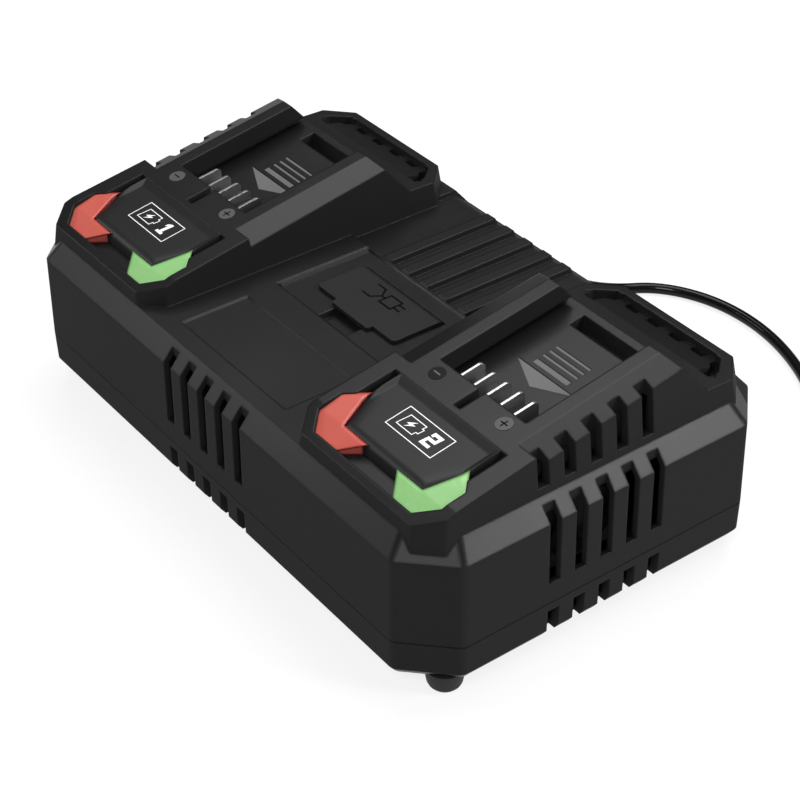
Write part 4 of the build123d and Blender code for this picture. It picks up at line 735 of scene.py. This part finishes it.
# Radius and height, from the middle of the sole round to the middle of the top
FOOT_PROFILE = np.array([(0.0, 0.0), (3.1, 0.0), (4.2, 0.2), (5.15, 0.75), (5.9, 1.6), (6.4, 2.75),
                         (7.4, 8.6), (7.5, 9.25), (0.0, 9.25)])
FOOT_SIDES = 40
POLE_RADIUS = 0.01


def turned(profile, centre, sides):
    """Turned piece on an upright axis: each radius and height of its profile goes once round. A point
    on the axis becomes a tiny circle."""
    angle = np.linspace(0, 2 * np.pi, sides, endpoint=False)
    radius = np.maximum(profile[:, :1], POLE_RADIUS)
    return carried(np.stack([centre[0] + radius * np.cos(angle), centre[1] + radius * np.sin(angle),
                             profile[:, 1:] + 0 * radius * angle], axis=-1))


rubber, place, end = new_material("black_rubber")
speckle = place.noise(1400.0, 4.0)
rubber_bump = place.node("Bump", {}, {"Strength": 0.4, "Distance": 0.00008, "Height": speckle})
link_surface(place.node("BsdfPrincipled", {}, {
    "Base Color": blend_colours(speckle, (0.008, 0.008, 0.008), (0.017, 0.017, 0.017)),
    "Roughness": speckle * 0.2 + 0.6, "Normal": rubber_bump, "Specular IOR Level": 0.3}), end)
put_piece("rubber_feet", [turned(FOOT_PROFILE, spot, FOOT_SIDES) for spot in FOOT_AT], rubber,
          nodes=["foot_front_left", "foot_front_right", "foot_rear_left", "foot_rear_right"], smooth=True)
dress(rubber, "strain_relief")
dress(bright_steel, "case_screw_front_left", "case_screw_front_right", "case_screw_rear_left",
      "case_screw_rear_right")

# --- Electronics ------------------------------------------------------------
# Inside: a green board with soldered joints, a wound transformer, two sleeved capacitors
# and finned aluminium heat sinks.
JOINT_RADIUS = 0.17
# The winding's tape lies between these shares of the transformer's height
TAPE_LOW = 0.25
TAPE_HIGH = 0.75
LID = 0.0006

solder_mask, place, end = new_material("solder_mask")
weave = place.noise(300.0, 2.0)
joints = place.node("TexVoronoi", {}, {"Vector": place, "Scale": 190.0}) < JOINT_RADIUS
# The green is kept dark: partly the mask's own dark green, partly a painted shade for the shadow inside the
# case
mask_green_in_painted_shade = blend_colours(weave, (0.003, 0.022, 0.009), (0.006, 0.04, 0.016))
link_surface(place.node("BsdfPrincipled", {}, {
    "Base Color": blend_colours(joints, mask_green_in_painted_shade, (0.6, 0.6, 0.58)), "Metallic": joints,
    "Roughness": weave * 0.2 + 0.25}), end)
dress(solder_mask, "main_board", "led_board_left", "led_board_right")

winding, place, end = new_material("winding_tape")
core_foot, core_top = (corner[2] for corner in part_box("transformer"))
core_height = core_top - core_foot
taped = (place.axis("Z") > core_foot + TAPE_LOW * core_height) * (
    place.axis("Z") < core_foot + TAPE_HIGH * core_height)
wraps = place.node("TexWave", {"bands_direction": "Z"}, {"Vector": place, "Scale": 160.0, "Distortion": 0.4})
tape = blend_colours(wraps, (0.45, 0.27, 0.03), (0.6, 0.4, 0.06))
link_surface(place.node("BsdfPrincipled", {}, {
    "Base Color": blend_colours(taped, (0.02, 0.02, 0.021), tape), "Roughness": wraps * 0.15 + 0.4}), end)
dress(winding, "transformer")

sleeve, place, end = new_material("shrink_sleeve")
lid = place.axis("Z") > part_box("capacitor_1")[1][2] - LID
haze = place.noise(200.0, 2.0)
sleeve_blue = blend_colours(haze, (0.01, 0.015, 0.04), (0.02, 0.03, 0.08))
link_surface(place.node("BsdfPrincipled", {}, {
    "Base Color": blend_colours(lid, sleeve_blue, (0.7, 0.7, 0.71)), "Metallic": lid,
    "Roughness": haze * 0.2 + 0.25}), end)
dress(sleeve, "capacitor_1", "capacitor_2")

extruded = metal("extruded_aluminium", (0.5, 0.5, 0.51), (0.72, 0.72, 0.73), roughness=0.42,
                 lines=(250.0, 250.0, 20.0), edge=0.0002)
dress(extruded, "heat_sink_1", "heat_sink_2")

# --- Fan --------------------------------------------------------------------
# Cooling fan behind the vents of the right end. Frame and rotor are moulded of glass-filled
# polyester, and the frame stands in a cradle in the base.
fan_plastic = moulded("fan_plastic", (0.011, 0.011, 0.0115), (0.02, 0.02, 0.021), grain=0.0005,
                      depth=0.00005, roughness=0.5, edge=0.0003)
dress(fan_plastic, "fan_frame", "fan_rotor")

# --- Plug -------------------------------------------------------------------
# Flat two-pin plug, moulded on the lead: ribbed grips on both faces, and pins of nickel-plated
# brass with an insulating sleeve at their roots.
GRIP_FROM_END = 0.016
GRIP_HALF = 0.0085
GRIP_WAVES = 2800.0
BARE_PIN = 0.0095

plug_plastic, place, end = new_material("plug_plastic")
grip_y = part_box("mains_plug")[1][1] - GRIP_FROM_END
along_y = place.axis("Y")
fine = place.noise(2200.0, 3.0)
slow = place.noise(30.0, 2.0)
grip = (abs(along_y - grip_y) < GRIP_HALF) * place.maths("SINE", along_y * GRIP_WAVES)
rounded = place.node("Bevel", {"samples": 6}, {"Radius": 0.0008})
grip_bump = place.node("Bump", {}, {"Strength": 0.9, "Distance": 0.0004, "Height": grip + fine * 0.15,
                                    "Normal": rounded})
link_surface(place.node("BsdfPrincipled", {}, {
    "Base Color": blend_colours(slow, (0.009, 0.009, 0.0095), (0.016, 0.016, 0.017)),
    "Roughness": fine * 0.15 + 0.38, "Normal": grip_bump, "Specular IOR Level": 0.35}), end)
dress(plug_plastic, "mains_plug")

plated_pin, place, end = new_material("plated_pin")
sleeved = place.axis("Y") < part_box("plug_pin_1")[1][1] - BARE_PIN
drawn = place.noise(600.0, 2.0)
plating = blend_colours(drawn, (0.68, 0.64, 0.55), (0.82, 0.78, 0.7))
link_surface(place.node("BsdfPrincipled", {}, {
    "Base Color": blend_colours(sleeved, plating, (0.012, 0.012, 0.012)),
    "Metallic": 1.0 - sleeved, "Roughness": drawn * 0.15 + 0.22}), end)
dress(plated_pin, "plug_pin_1", "plug_pin_2")
